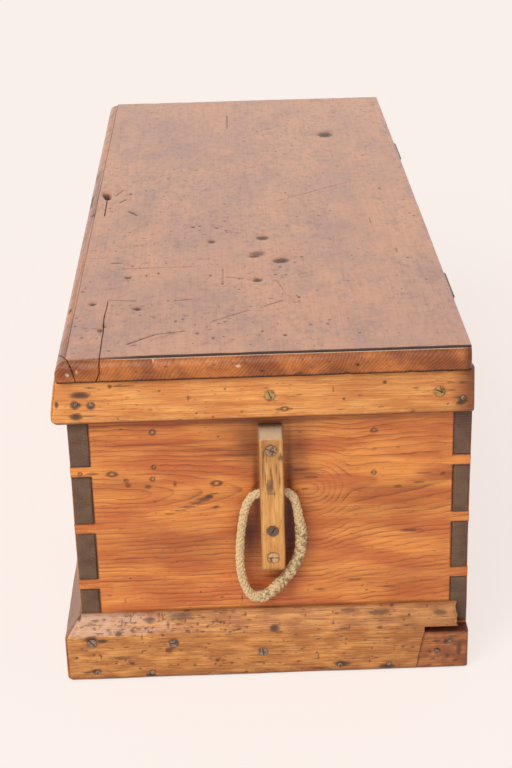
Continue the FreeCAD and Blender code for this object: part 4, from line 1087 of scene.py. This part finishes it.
PLINTH_MARKS = {
    "stain": ((91.2, 640.2, 8.5, 4.8), (102, 641.5, 8, 3), (96.5, 671.5, 7, 4), (151.4, 675.5, 7, 3.8),
              (274.6, 628.5, 6.5, 4.4), (342, 663.7, 11, 4.6), (386.9, 665.8, 11, 4.2), (79, 617, 3, 6)),
    "speck": ((94, 655), (162.8, 635.5, 2.8, 1.5), (217.7, 660.3, 3, 2.6), (221, 665.7),
              (246.5, 671.7, 2.4, 2), (403, 646.8, 2.2, 1.8), (423.4, 659.5, 3.4, 3), (77, 658, 2.2, 2.4),
              (132, 663.7, 3.6, 2.8), (153, 628), (187.5, 631, 3.6, 1.6), (230, 632), (206, 648),
              (376, 611), (404, 620), (365, 640), (372, 648), (118, 634, 4, 3), (427, 606), (392, 605, 3, 2)),
    "slash": ((142, 638, 1.4, 5.5), (125.3, 660.3, 1.4, 3), (150, 645.6, 1.4, 3), (81.8, 649.5, 1.4, 3.4),
              (168.2, 625, 2, 5), (133, 630, 1.2, 3), (159, 615, 1.4, 4)),
    "tick": ((86, 651, 3.4, 1.8), (100, 655.5, 3, 2), (315.3, 636.3), (340.6, 636.3), (343, 628.6, 11, 1.5),
             (348.3, 610.3, 4.6, 1.8), (336.4, 613.2), (379.9, 627.2, 4.6, 2.2), (381.3, 620.2),
             (385.5, 637.7), (413, 647), (231.8, 663, 3.2, 2.4), (195, 665, 3, 2.4), (217, 620.5, 11, 1),
             (224, 613, 7, 1), (110, 634), (135, 665), (110, 648), (280, 676, 8, 1.2), (213, 652.3),
             (299, 661), (126, 647.5), (112, 612, 5, 1.5), (187, 611, 6, 1.4)),
    "smear": ((258, 662, 12, 1.6), (88, 672.5, 8, 2), (169.5, 650, 6, 5.4), (279, 632, 6, 2),
              (350, 610, 16, 2), (410, 625, 12, 1.6), (120, 658, 16, 3), (180, 617, 20, 5),
              (320, 668, 16, 2), (150, 620, 8, 5), (380, 612, 20, 3), (440, 612, 10, 4)),
    "dent": ((459.5, 616, 3, 4), (458.5, 607, 2.4, 2.4)),
    "chip_and_glint": ((455, 603.5, 3, 1.6), (456, 621, 3.4, 2.4), (230.4, 625.5, 4, 2), (457, 611, 4, 4),
             (90, 631, 6, 2.4), (385, 669.5, 3, 1.6), (74, 636, 3, 3.4), (78, 630, 2.4, 2.4),
             (83, 633, 3, 2), (77, 625, 2, 3)),
}
PATCH_MARKS = {
    "stain": ((437.4, 650.3, 4.8, 4.2), (445.8, 641.2, 3, 4)),
    "tick": ((436, 641, 7, 1.3), (432, 659, 6, 1.4), (452, 636, 8, 1.2), (455, 660, 5, 2)),
    "smear": ((459, 648, 4, 12), (447, 656, 3.5, 4), (430, 651, 3, 3)),
    "chip_and_glint": ((428.5, 634, 3, 4), (462, 652.4, 1.4, 1.4), (436, 658, 4, 2)),
}


def bevel_wear_and_highlight(along, up):
    """Pale rubbed places: the bevel near the front corner, and the edge below it, worn and with a painted
    highlight.
    """
    toward_front = np.clip(0.95 - (along - FRONT) / BEVEL_FADE, *BEVEL_PALE)
    on_bevel = ramp(up - BEVEL_FOOT + 2 * MM, 5 * MM) * toward_front
    return np.maximum(on_bevel, bell(up - BEVEL_FOOT, 1.5 * MM) * 0.4) * 0.8


def front_bevel_wear(along, up):
    return ramp(up - BEVEL_FOOT, 4 * MM) * 0.75


def bevel_shading_and_darkening(along, up):
    """Greyer low on the toe, a painted contact shadow along the floor and along the top, and darker towards
    the back.
    """
    toe = fade(up, 14 * MM) * 0.4 + bell(up, 4 * MM) * 0.5
    behind = ramp(along - DARKENING_START, BACK - DARKENING_START) * 0.4
    return np.maximum.reduce([toe, bell(PLINTH_HIGH.z - up, 3 * MM) * 0.45, behind])


def patch_shading_and_darkening(along, up):
    """The patch is dark along its seam, in a painted shadow under the bevel's overhang, and at its back edge.
    """
    seam = bell(along - GAP_START + slant(up), 2.5 * MM) * 0.75
    under = fade(PATCH_TOP - up, 7 * MM) * 0.95
    edge = fade(BACK - along, 8 * MM) * 0.6
    return np.maximum.reduce([bevel_shading_and_darkening(along, up), seam, under, edge])


def rail_turn_highlight(along, up):
    """A pale line where the rail turns under: a painted highlight on its arris."""
    return bell(up - RAIL_TURN, 1.4 * MM) * 0.55


# Painted shade on the rail's underside, below its turn
def under_rail_shading(up):
    return ramp(RAIL_TURN - MM - up, 3 * MM)


def rail_shading_and_darkening(along, up):
    """Painted shade under the rail's turn, a painted shadow beside the lid, and darker towards its back end.
    """
    behind = np.maximum(ramp(along - BACK + 32 * MM, 26 * MM) * 0.8, ramp(along, BACK) * 0.2)
    return np.maximum.reduce([under_rail_shading(up) * 0.9, behind, bell(RAIL_HEIGHT - up, 2 * MM) * 0.5])


# Painted shade under the front rail's turn, and a painted shadow under the lid's overhang along its top
def front_rail_shading(along, up):
    return np.maximum(under_rail_shading(up) * 0.75, bell(RAIL_HEIGHT - up, 3 * MM) * 0.9)


def kept_plinth(run, up):
    patch = (run > GAP_START) & (up < BEVEL_FOOT)
    broken = (run > BREAK_START) & (up > BEVEL_FOOT)
    return ~(patch | broken)


def slant(up):
    return ramp(PATCH_TOP - up, PATCH_TOP) * SCARF


def scarfed(along, up):
    """The plinth's end at the patch, slanting forward towards the floor, and the torn end of its bevel."""
    reach = fade(GAP_START - along, BACK - GAP_START) * (along <= GAP_START + TOUCH)
    torn = fade(BREAK_START - along, TORN_LENGTH) * (up > BEVEL_FOOT + 0.5 * MM)
    ragged = TORN_DEPTH * (1 + np.sin(up / (2.2 * MM)) + 0.6 * np.sin(up / (0.9 * MM)))
    return along - slant(up) * reach - torn * ragged


def patch_slant(along, up):
    return along - slant(up) * ramp(BACK - along, BACK - GAP_START)


# Keyhole in the front rail: place, half width and height, depth, dirt that paints the hole dark as shade, and
# paleness
KEYHOLE = (0, 344, 2.4, 5, 9, 1, 0)
KEYHOLE_LINES = np.arange(-8, 8.5, 1) * MM


def rail_face(height):
    return END_X + rail_profile(height - RAIL_LOW.z)


def make_rails():
    levels = (RAIL_LOW.z, RAIL_HIGH.z)
    ends = (rail_profile, *levels, FRONT, BACK, (1, 0))
    used = {"worn": rail_turn_highlight, "shade": rail_shading_and_darkening}
    marks = seen_marks(0, rail_face, RAIL_MARKS)
    marks += heads("right_rail_screws", 1) + heads("right_rail_nails", 1)
    make_bar("right_rail_bar", "right_end_rail", *ends, on_right, RAIL_WOOD, 1.5 * MM, marks, **used, seed=51)
    marks = random_marks(52, 40, (-200, 325), (215, 365)) + heads("left_rail_screws", 1)
    make_bar("left_rail_bar", "left_end_rail", *ends, on_left, RAIL_WOOD, 2.5 * MM, marks, **used, seed=53)
    marks = random_marks(54, 90, (-530, 325), (530, 365)) + heads("front_rail_screws", 0) + [KEYHOLE]
    make_bar("front_rail_bar", "front_rail", front_rail_profile, *levels, -END_X, END_X, (1, 1), on_front,
             FRONT_RAIL_WOOD, 3 * MM, marks, worn=rail_turn_highlight, shade=front_rail_shading, seed=55,
             more=KEYHOLE_LINES)


def plinth_face(height):
    return END_X + plinth_profile(np.clip(height, 0, PLINTH_HIGH.z))


def make_plinths():
    shape = (plinth_profile, 0, PLINTH_HIGH.z)
    ends = (*shape, FRONT, BACK, (1, 0))
    used = {"worn": bevel_wear_and_highlight, "shade": bevel_shading_and_darkening}
    marks = seen_marks(0, plinth_face, PLINTH_MARKS)
    marks += random_marks(56, 90, (-210, 3), (165, 74), (0.5, 0.4, 0.1, 0, 0))
    marks += random_marks(57, 70, (-215, 59), (-20, 78), (0.25, 0.45, 0.2, 0, 0.1))
    marks += heads("right_plinth_screws", 1) + heads("right_plinth_nails", 1)
    make_bar("right_plinth_bar", "right_plinth", *ends, on_right, PLINTH_WOOD, 1.5 * MM, marks, kept_plinth,
             scarfed, **used, seed=57, more=(GAP_START, BREAK_START))
    marks = random_marks(58, 80, (-210, 4), (215, 74)) + heads("left_plinth_screws", 1)
    make_bar("left_plinth_bar", "left_plinth", *ends, on_left, PLINTH_WOOD, 2.5 * MM, marks, **used, seed=59)
    marks = random_marks(60, 150, (-540, 4), (540, 74)) + heads("front_plinth_screws", 0)
    make_bar("front_plinth_bar", "front_plinth", *shape, -END_X, END_X, (1, 1), on_front, FRONT_PLINTH_WOOD,
             3 * MM, marks, worn=front_bevel_wear, shade=bevel_shading_and_darkening, seed=61)
    marks = seen_marks(0, plinth_face, PATCH_MARKS) + heads("plinth_patch_nails", 1)
    make_bar("right_plinth_patch_bar", "right_plinth_patch", plinth_profile, 0, PATCH_TOP,
             GAP_START - PATCH_OVERLAP, BACK, (0, 0), on_right, PATCH_WOOD, 1.2 * MM, marks, bend=patch_slant,
             shade=patch_shading_and_darkening, corners=(0.3 * MM, END_ROUND), seed=63)


make_rails()
make_plinths()

# Cleats: oak blocks rubbed round, with the cross hole left open
CLEAT_VOXEL = 0.0009
CLEAT_SMOOTHING = 6
CLEAT_FACE = 1.2 * MM
CLEAT_BEND = 0.4 * MM
CLEAT_STREAK_TOP = 0.09
CLEAT_CAP = 0.009
# Height of the heel at the foot, its narrowing as a share, and how far its face falls back
CLEAT_HEEL = 0.006
HEEL_TAPER = 0.16
HEEL_SINK = 2.2 * MM
CLEAT_MARKS = {
    "slash": ((272, 482, 1.2, 13), (268, 486, 1, 14), (262.5, 470, 0.9, 13), (265.5, 478, 0.8, 9),
              (279.5, 480, 1, 11), (276.5, 470, 0.9, 12), (270.5, 472, 0.8, 9), (274.5, 494, 0.8, 8),
              (263.5, 455, 0.9, 8), (280.5, 456, 0.9, 7), (266.5, 460, 0.8, 7)),
    "smear": ((281, 458, 4, 5), (270, 487, 5, 10), (271, 494, 6, 1.2)),
}


def reworked(node):
    """Points and faces of a CAD node remade with even small faces and its sharp edges rubbed away."""
    copy = placed("rework", nodes[node].data.copy())
    remesh = copy.modifiers.new("remesh", "REMESH")
    remesh.mode = "VOXEL"
    remesh.voxel_size = CLEAT_VOXEL
    mesh = evaluated(copy)
    work = opened(mesh)
    bpy.data.meshes.remove(mesh)
    for _ in range(CLEAT_SMOOTHING):
        bmesh.ops.smooth_vert(work, verts=work.verts, factor=0.5, use_axis_x=True, use_axis_y=True,
                              use_axis_z=True)
    points = np.array([vertex.co for vertex in work.verts])
    faces = [[vertex.index for vertex in face.verts] for face in work.faces]
    work.free()
    return points, faces


def make_cleat(side, sign):
    """A cleat with its face pressed and streaked, its heel rubbed away and a pale cap with a painted
    highlight, and painted shade on its sides, its lowest end and the back of its top.
    """
    low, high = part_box(f"{side}_cleat")
    points, faces = reworked(f"{side}_cleat")
    face_x = high.x if sign > 0 else low.x
    width = high.y - low.y
    outer = np.abs(points[:, 0] - face_x) < CLEAT_FACE
    marks = seen_marks(0, abs(face_x), CLEAT_MARKS) + heads(f"{side}_cleat_screws", 1)
    depth, dirt, _ = pressed(points[:, 1], points[:, 2], marks)
    bent = waves(points, 0.05, 71) * CLEAT_BEND
    points[:, 0] += bent * 0.4
    points[:, 1] += bent
    heel = fade(points[:, 2] - low.z, CLEAT_HEEL) ** 2
    points[:, 1] -= (points[:, 1] - MIDDLE_Y) * heel * HEEL_TAPER
    points[outer, 0] -= ((depth + heel * HEEL_SINK) * sign)[outer]
    aside = points[:, 1] - MIDDLE_Y
    below = high.z - points[:, 2]
    cap = ramp(CLEAT_CAP - below, 2 * MM)
    # Painted shade and dirt over the back of the top, towards the panel
    inward = np.abs(points[:, 0] - face_x) / (high.x - low.x)
    crown_shading_and_grime = bell(below, 3 * MM) * np.clip(inward * 2.8 - 0.3, 0, 0.9)
    # Painted highlight over the pale cap: brighter further from the top and towards the front
    glint = 0.72 + 0.2 * ramp(below, 8 * MM) + 0.15 * waves(points, 0.012, 75) - 0.25 * aside / width
    # Painted shade along the sides and at the lowest end
    flank_shading = bell(np.abs(aside) - width / 2, 1.6 * MM) * 0.65
    foot_shading = bell(points[:, 2] - low.z, 4 * MM) * 0.65
    streak = np.clip(waves(points * (1, 1, 0.06), 0.007, 73) * 0.5 + 0.2, 0, 1)
    streak = streak * ramp(CLEAT_STREAK_TOP - below, 30 * MM) * (1 - cap) * 0.8
    piece(f"{side}_cleat_block", points, faces, [CLEAT_WOOD], "case", "cleat_wood", f"{side}_cleat",
          dirt=np.maximum(dirt * outer, crown_shading_and_grime * 0.8), worn=cap * glint,
          shade=np.maximum.reduce([streak, flank_shading, foot_shading, crown_shading_and_grime]))


make_cleat("right", 1)
make_cleat("left", -1)

# Lid: a board whose height falls away over the moulding on its front and ends
LID_THICKNESS = LID_HIGH.z - LID_LOW.z
EDGE_WIDTH = 0.0095
EDGE_STEP = 0.002
EDGE_RADIUS = 0.014
EDGE_FOOT = LID_THICKNESS - EDGE_STEP - math.sqrt(EDGE_RADIUS ** 2 - (EDGE_RADIUS - EDGE_WIDTH) ** 2)
QUIRK_WIDTH = 0.0016
QUIRK_DEPTH = 0.0011
NOSE = 0.0011
LIP_SWELL = 0.0022
LIP_LEAN = 0.0025
FRONT_CRISP = 0.55
# Round back edge and back corners
LID_BACK_ROUND = 0.002
BACK_CORNER = 0.006
# Front right corner where the moulding's step is rubbed away: length along the front and the end, step left
WORN_FRONT = 0.06
WORN_END = 0.09
STEP_LEFT = 0.3 * MM
# Swell of the top, width of the end's marked strip, ridge of the moulding with its painted highlight, and the
# painted shadow line at its foot
LID_SWELL = 0.3 * MM
END_STRIP = 7 * MM
RIDGE_INSET = 1.2 * MM
FOOT_LINE = 1.6 * MM
# Cracks: how far they wander and over what width, how they fade in, and their depth in the end face
CRACK_WANDER = 0.9 * MM
CRACK_SWAY = 9 * MM
CRACK_FADE = 60 * MM
CRACK_SINK = 9 * MM
# Crack that takes the corner off: place along the front, angles and half width
PATCH_LENGTH = 0.032
PATCH_ANGLE = math.radians(24)
PATCH_LEAN = math.radians(12)
CRACK_HALF = 0.0003
CRACK_DIRT = 0.9
# The chips on the lid's top are painted glints and reflections in its dents and bowls
LID_MARKS = {
    "hole": ((106.6, 193.2, 9, 6), (108, 195.2, 10, 5.4), (108.6, 197.6, 8, 4), (104.8, 325.5, 4, 2)),
    "smear": ((257.5, 253.5, 12, 13),),
    "bowl": ((325, 134, 17, 13), (262.5, 237, 9, 9), (254, 255.5, 5, 8), (281, 259.5, 11, 12),
             (257.5, 279, 8, 7), (92.5, 303.5, 5, 5), (137, 308, 5, 6)),
    "chip_and_glint": ((276, 261, 5, 4), (251.5, 280, 5, 5), (264.5, 240.5, 4, 7), (139, 310, 4, 4), (94, 306, 3, 3),
             (102, 333, 3, 4), (318.5, 135, 9, 4)),
    "dent": ((211.5, 241, 8, 6), (128, 277.5, 5, 5), (100, 330, 6, 4)),
    "speck": ((193, 227, 4, 3.4), (200, 226, 3, 3.4), (216.5, 228, 3, 2.4), (226, 230.5, 3, 2.2),
              (146.5, 276, 6, 1.8), (158.5, 273.5, 5, 2), (131, 194, 4, 3), (299, 297, 5, 2.4),
              (210.5, 275.5, 4, 2.2), (213, 338, 4, 2), (353, 339), (197, 333, 4, 2), (175.5, 321, 5, 1.8),
              (222.5, 283.5, 5, 1.6), (115, 210), (205, 282), (264, 317), (285, 335, 4, 2.4),
              (262.5, 331, 3, 2.4), (193, 343), (278, 309), (145, 283)),
    "slash": ((396.5, 250, 15, 1.4), (379.5, 188, 10, 1.6), (370, 220, 13, 1), (133, 213, 4, 4)),
}
# Scratches of the lid: two ends in pixels, then half width and depth in mm and dirt
LID_SCRATCHES = (
    (127, 344, 154, 334.5, 2, 0.6, 0.9), (156, 334, 184, 331, 1.8, 0.4, 0.75),
    (264, 306, 282, 300.5, 1.5, 0.4, 0.9), (212.5, 321, 249, 310, 1.6, 0.4, 0.75),
    (277, 201, 347, 182, 1.6, 0.4, 0.65), (108.5, 300, 136, 301, 1.6, 0.4, 0.75),
    (174, 301, 192, 299, 1.8, 0.4, 0.75), (122, 269, 195, 266.5, 1.6, 0.4, 0.65),
    (129, 211.5, 137, 215.5, 2.2, 0.5, 0.9), (120, 202.5, 126.5, 199.5, 2, 0.5, 0.85),
    (222.5, 268.5, 222.5, 284, 1.3, 0.4, 0.7), (116, 196, 124, 190, 1.8, 0.5, 0.8),
    (227, 116, 227, 128, 1.8, 0.4, 0.7), (227, 277, 242, 278.5, 1.6, 0.3, 0.7),
    (112, 263.5, 122, 263, 2.2, 0.4, 0.8), (150, 340.5, 176, 332, 1.4, 0.4, 0.6),
    (276, 279, 286, 294, 1.2, 0.3, 0.6), (240, 170, 262, 164, 1.6, 0.3, 0.55),
)
# Shares of each kind among the lid's scattered nicks
LID_SHARES = (0.35, 0.25, 0.4, 0, 0)
# Level of the slits below the lid's top
SLIT_DROP = 0.006
# Slits of the front moulding: two ends in pixels, then half width and depth in mm and dirt
FRONT_SLITS = (
    (94.6, 196, 92.6, 206, 1.6, 2, 1), (89.6, 209, 87.2, 219, 1.6, 2, 1),
    (98, 178.5, 100.5, 176.5, 2, 1, 0.95), (95.5, 216.5, 94, 218, 2.4, 1, 0.95),
    (82.5, 297, 84, 296, 2, 1, 0.8), (72, 310, 71, 313, 1.8, 1, 0.9),
)
# Cracks along the grain: (start x, end x, y, half width, depth, slant down the end face), in mm
LID_CRACKS = (
    (378, 562, -173.5, 0.6, 14, -4.6), (-58, 60, -196.5, 0.8, 5, 0),
)
# The chips on the right end are painted glints on the moulding
END_MARKS = {
    "dent": ((358, 365, 3, 3), (347, 374, 2.6, 2), (411, 372, 2.4, 2), (136, 372, 2.4, 1.6)),
    "chip_and_glint": ((153, 362, 2, 9), (127, 371, 11, 2.4), (180, 370, 11, 2.4), (67, 376, 7, 5),
             (103, 372, 9, 2.2), (76, 373, 5, 5), (238, 366, 8, 2), (205, 371.5, 9, 2)),
    "tick": ((300, 373, 6, 1.2), (262, 371, 5, 1.2), (330, 362, 4, 1.4), (430, 362, 5, 1.2),
             (390, 366, 5, 1.4), (214, 365, 3, 1.4), (166, 367, 4, 1.2)),
}


def lid_height(inset):
    """Height of the lid's upper side over its lower one at a distance in from the moulded edge."""
    reach = EDGE_RADIUS - np.minimum(inset, EDGE_WIDTH)
    curve = EDGE_FOOT + np.sqrt(EDGE_RADIUS ** 2 - reach ** 2)
    quirk = ramp(inset - EDGE_WIDTH + QUIRK_WIDTH, QUIRK_WIDTH) * QUIRK_DEPTH
    return np.where(inset < EDGE_WIDTH, curve - quirk, LID_THICKNESS)


# Grid lines along the lid in mm: start, stop and step, closer together where its marks are
LID_SPANS = (
    (-542, -360, 6), (-360, -300, 2.2), (-300, -90, 5), (-90, 66, 2.4), (66, 120, 3), (120, 546, 1.9),
)
LID_STEP = 1.9 * MM
LID_MARGIN = EDGE_WIDTH + 3 * MM
LID_LAYERS = np.array((0, 0.08, 0.35, 0.7, 0.92, 1))
# More grid lines, in mm from the moulding's inner edge, from the back edge and to both sides of a crack
STEP_LINES = np.array((-0.5, -0.08, 0.08, 0.5, 1.2))
BACK_LINES = np.array((2, 1.2, 0.6, 0.2, 0))
CRACK_LINES = (1.3, 2.4)


def crack_lines(line, half):
    reach = np.array((half, *CRACK_LINES))
    return (line + np.concatenate([-reach, [0], reach])) * MM


def lid_lines():
    near = np.linspace(0, 1, 9) ** 1.5 * (EDGE_WIDTH - QUIRK_WIDTH)
    near = np.concatenate([near, EDGE_WIDTH + STEP_LINES * MM])
    half = LID_HIGH.x
    middle = np.concatenate([np.arange(*span) for span in LID_SPANS]) * MM
    middle = np.concatenate([[LID_MARGIN - half], middle, [half - LID_MARGIN]])
    xs = np.concatenate([near - half, middle, half - near[::-1]])
    cracks = [crack_lines(line, width) for _, _, line, width, _, _ in LID_CRACKS]
    middle = ticks(LID_LOW.y + LID_MARGIN, LID_HIGH.y - 3 * MM, LID_STEP, 0, *cracks)
    ys = np.concatenate([LID_LOW.y + near, middle, LID_HIGH.y - BACK_LINES * MM])
    return xs, ys, LID_LAYERS


def scored(across, up, strokes, level):
    """Depth and dirt of straight scratches on the lid, seen at a level."""
    depth, dirt = np.zeros((2, len(across)))
    for x1, y1, x2, y2, half, sink, soiling_and_shading in strokes:
        start = np.array(seen_at(x1, y1, 2, level))
        way = np.array(seen_at(x2, y2, 2, level)) - start
        off = np.stack([across, up], axis=1) - start
        share = np.clip(off @ way / (way @ way), 0, 1)
        far = np.linalg.norm(off - share[:, None] * way, axis=1) / (half * MM)
        near = np.exp(-far ** 2)
        depth = np.maximum(depth, near * sink * MM)
        dirt = np.maximum(dirt, near * soiling_and_shading)
    return depth, dirt


def lid_upper(x, y, inset, flat):
    """Height of the rubbed upper side, and how far its step is gone at the front right corner."""
    past = np.maximum(inset - EDGE_WIDTH, 0)
    beside = inset >= EDGE_WIDTH
    rub = 0.25 * MM + 0.5 * MM * np.abs(waves(flat, 0.045, 83))
    corner = fade(y - LID_LOW.y, WORN_END) * (x > LID_HIGH.x - WORN_FRONT)
    gone = corner * (EDGE_STEP - STEP_LEFT)
    soft = (np.exp(-past / (1.6 * MM)) * rub + np.exp(-past / (7 * MM)) * gone) * beside
    return lid_height(inset) - soft - rounding(LID_HIGH.y - y, LID_BACK_ROUND), gone


def make_lid():
    """The lid's points as a share of its height at each place, then its marks, cracks, dirt, painted shade
    and painted highlights.
    """
    points, faces = skin(lid_lines())
    x, y, share = points.T
    flat = np.stack([x, y, y * 0], axis=1)
    from_end, from_front, from_back = LID_HIGH.x - np.abs(x), y - LID_LOW.y, LID_HIGH.y - y
    inset = np.minimum(from_end, from_front)
    top = share > SURFACE
    end = from_end < TOUCH
    right_end = end & (x > 0)
    on_edge = inset[faces].mean(axis=1) < EDGE_WIDTH - TOUCH
    kinds = np.select([face_normals(points, faces)[:, 2] < -FACING, on_edge], [1, 2])
    height, gone = lid_upper(x, y, inset, flat)

    # Marks pressed into the top
    nicks = random_marks(91, 150, (130, -205), (540, 60), LID_SHARES)
    nicks += random_marks(93, 110, (-540, -205), (540, 210), LID_SHARES)
    depth, dirt, pale = pressed(x, y, seen_marks(2, LID_HIGH.z, LID_MARKS) + nicks)
    for strokes, level in ((LID_SCRATCHES, LID_HIGH.z), (FRONT_SLITS, LID_HIGH.z - SLIT_DROP)):
        scratch, soiling_and_shading = scored(x, y, strokes, level)
        depth = depth + scratch
        dirt = np.maximum(dirt, soiling_and_shading)
    dirt = dirt * top
    z = share * (height - np.where(top, depth, 0) + waves(flat, 0.2, 85) * LID_SWELL * top)

    # Front lip and cracks
    wobble = waves(flat * (1, 0, 0), 0.07, 81) * CRACK_WANDER
    swell = LIP_SWELL + LIP_LEAN * (LID_HIGH.x - x) / (2 * LID_HIGH.x)
    moved_y = y - swell * np.sqrt(share) * fade(from_front, EDGE_WIDTH)
    sunk = np.where(end, NOSE * np.sqrt(1 - share), 0)
    for start, stop, line, half, sink, slope in LID_CRACKS:
        off = np.abs(y - line * MM)
        moved_y = moved_y + bell(off, CRACK_SWAY) * (wobble + slope * MM * (1 - share))
        open_part = ramp(x - start * MM, CRACK_FADE) * ramp(stop * MM - x, 2 * MM)
        core = off < 0.2 * half * MM
        z = z - np.where(top, np.minimum(core * open_part * sink * MM, z * 0.8), 0)
        sunk = sunk + np.where(right_end & core & (slope != 0), CRACK_SINK, 0)
        black = (off < 0.6 * half * MM) * np.clip(open_part * 1.6, 0, 1)
        dirt = np.maximum(dirt, black * (top | right_end))

    # Back corners and the marks of the right end, whose chips are painted glints
    sunk = sunk + rounding(from_back, BACK_CORNER) * fade(from_end, 2 * BACK_CORNER)
    nick, soiling_and_shading, bright = pressed(y, z + LID_LOW.z, seen_marks(0, LID_HIGH.x, END_MARKS))
    right_side = x > LID_HIGH.x - END_STRIP
    sunk = sunk + np.where(right_side, nick, 0)
    dirt = np.where(right_side, np.maximum(dirt, soiling_and_shading), dirt)

    # Dirt, painted shade and painted highlights of the moulding
    crisp = (1 - gone / EDGE_STEP) * np.where(from_front < from_end, FRONT_CRISP, 1.0)
    # The dark line in the step: dirt and painted shade
    quirk = bell(inset - EDGE_WIDTH + 0.2 * MM, MM) * top * crisp
    # Painted shadow line along the lowest edge, over the gap above the rails
    foot_shading = (end | (from_front < TOUCH)) * ramp(FOOT_LINE - z, MM) * 0.85
    # Painted highlights: a pale line beside the step and along the moulding's ridge
    fillet_highlight = bell(inset - EDGE_WIDTH + QUIRK_WIDTH, 0.6 * MM) * crisp
    ridge_highlight = bell(inset - RIDGE_INSET, 0.8 * MM) * (0.14 + 0.16 * waves(flat, 0.03, 87))
    # Painted shade where the moulding turns round the back corners
    turned = (inset < EDGE_WIDTH) * np.clip(1.3 - from_back / (9 * MM), 0, 1) * 0.75
    # Painted highlights and glints on the top and the right end
    bare_and_highlit = np.maximum(np.maximum.reduce([fillet_highlight, ridge_highlight, pale]) * top, bright * right_side)
    made = np.stack([x - sunk * np.sign(x), moved_y, z + LID_LOW.z], axis=1)
    cut_lid(made, faces, kinds, dirt=np.maximum.reduce([dirt, quirk, foot_shading]), shade=turned, worn=bare_and_highlit)


def cut_lid(points, faces, kinds, **fields):
    """The lid in two pieces along the crack that takes its front right corner off."""
    spot = Vector((LID_HIGH.x - PATCH_LENGTH, LID_LOW.y, LID_HIGH.z))
    way = Matrix.Rotation(PATCH_ANGLE, 3, "Z") @ Matrix.Rotation(PATCH_LEAN, 3, "X") @ Vector((0, 1, 0))
    for name, node, sign in (("lid_top", "lid_board", 1), ("lid_corner", "lid_corner_patch", -1)):
        made = piece(name, points, faces, [LID_WOOD, INSIDE_WOOD, LID_EDGE], "lid", "lid_wood", node, kinds,
                     **fields)
        work = opened(made.data)
        whole = work.verts[:] + work.edges[:] + work.faces[:]
        cut = bmesh.ops.bisect_plane(work, geom=whole, dist=MERGE_DISTANCE, plane_no=way,
                                     plane_co=spot + way * (CRACK_HALF * sign), clear_outer=sign < 0,
                                     clear_inner=sign > 0)
        rim = [item for item in cut["geom_cut"] if isinstance(item, bmesh.types.BMEdge)]
        bmesh.ops.holes_fill(work, edges=rim)
        layer = work.verts.layers.float["dirt"]
        for item in cut["geom_cut"]:
            if isinstance(item, bmesh.types.BMVert):
                item[layer] = CRACK_DIRT
        work.to_mesh(made.data)
        work.free()


make_lid()


# Carried-over pieces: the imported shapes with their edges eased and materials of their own
EASING_ANGLE = math.radians(40)


def dress(node, material, easing):
    part = nodes[node]
    part.data.materials.clear()
    part.data.materials.append(material)
    bevel = part.modifiers.new("easing", "BEVEL")
    bevel.width = easing
    bevel.segments = 2
    bevel.limit_method = "ANGLE"
    bevel.angle_limit = EASING_ANGLE


DRESSES = {"brass": (BRASS, 0.15 * MM), "iron": (IRON, 0.15 * MM), "inside_wood": (INSIDE_WOOD, 0.8 * MM)}
for subpart in frame["record"]["subparts"]:
    if subpart["material_slot"] in DRESSES:
        dress(subpart["node"], *DRESSES[subpart["material_slot"]])
for side in ("right", "left"):
    nodes[f"{side}_cleat_screws"].data.materials[0] = CLEAT_IRON


# Stage: a pale floor in a world of the same colour, so that no horizon shows, and soft lamps
FLOOR_SEEN = tone(251, 241, 236)
FLOOR_GLOW = 1.06
FLOOR_SHARE = 0.74
FLOOR_HALF = 12.0
LIGHT_COLOUR = (1.0, 0.985, 0.965)
WORLD_LIGHT = 0.42


def seen_and_lit(tree, seen, lit):
    """Mixes two shaders so that the camera and mirrors see the first and light comes from the second."""
    path = add_node(tree, "LightPath").outputs
    straight = Field(tree, path["Is Camera Ray"])
    for ray in ("Is Glossy Ray", "Is Transmission Ray"):
        straight = straight.math("MAXIMUM", path[ray])
    return add_node(tree, "MixShader", straight, lit, seen).outputs[0]


def make_floor():
    corners = [(side * FLOOR_HALF, end * FLOOR_HALF, 0) for side, end in ((-1, -1), (1, -1), (1, 1), (-1, 1))]
    mesh = bpy.data.meshes.new("floor")
    mesh.from_pydata(corners, [], [(0, 1, 2, 3)])
    floor = placed("floor", mesh)
    material = bpy.data.materials.new("floor_paper")
    tree = fresh_tree(material)
    paper = add_node(tree, "BsdfDiffuse", Color=FLOOR_SEEN).outputs[0]
    glow = add_node(tree, "Emission", Color=FLOOR_SEEN, Strength=FLOOR_GLOW).outputs[0]
    both = add_node(tree, "MixShader", FLOOR_SHARE, paper, glow).outputs[0]
    add_node(tree, "OutputMaterial", Surface=seen_and_lit(tree, both, paper))
    mesh.materials.append(material)


def make_world():
    scene.world = bpy.data.worlds.new("studio")
    tree = fresh_tree(scene.world)
    seen = add_node(tree, "Background", Color=FLOOR_SEEN, Strength=1.0).outputs[0]
    lit = add_node(tree, "Background", Color=LIGHT_COLOUR, Strength=WORLD_LIGHT).outputs[0]
    add_node(tree, "OutputWorld", Surface=seen_and_lit(tree, seen, lit))


def make_lamp(name, kind, place, target, power, **settings):
    data = bpy.data.lights.new(name, kind)
    data.energy = power
    data.color = LIGHT_COLOUR
    for setting, value in settings.items():
        setattr(data, setting, value)
    lamp = placed(name, data)
    lamp.location = place
    lamp.rotation_mode = "QUATERNION"
    lamp.rotation_quaternion = (Vector(target) - Vector(place)).to_track_quat("-Z", "Y")


make_floor()
make_world()
make_lamp("key", "SUN", (1.6, -1.0, 2.0), (0.0, 0.0, 0.0), 1.6, angle=math.radians(50))
make_lamp("end_lamp", "AREA", (2.4, -1.4, 1.6), (0.5, 0.0, 0.25), 9, size=0.8)
scene.view_settings.view_transform = "Standard"
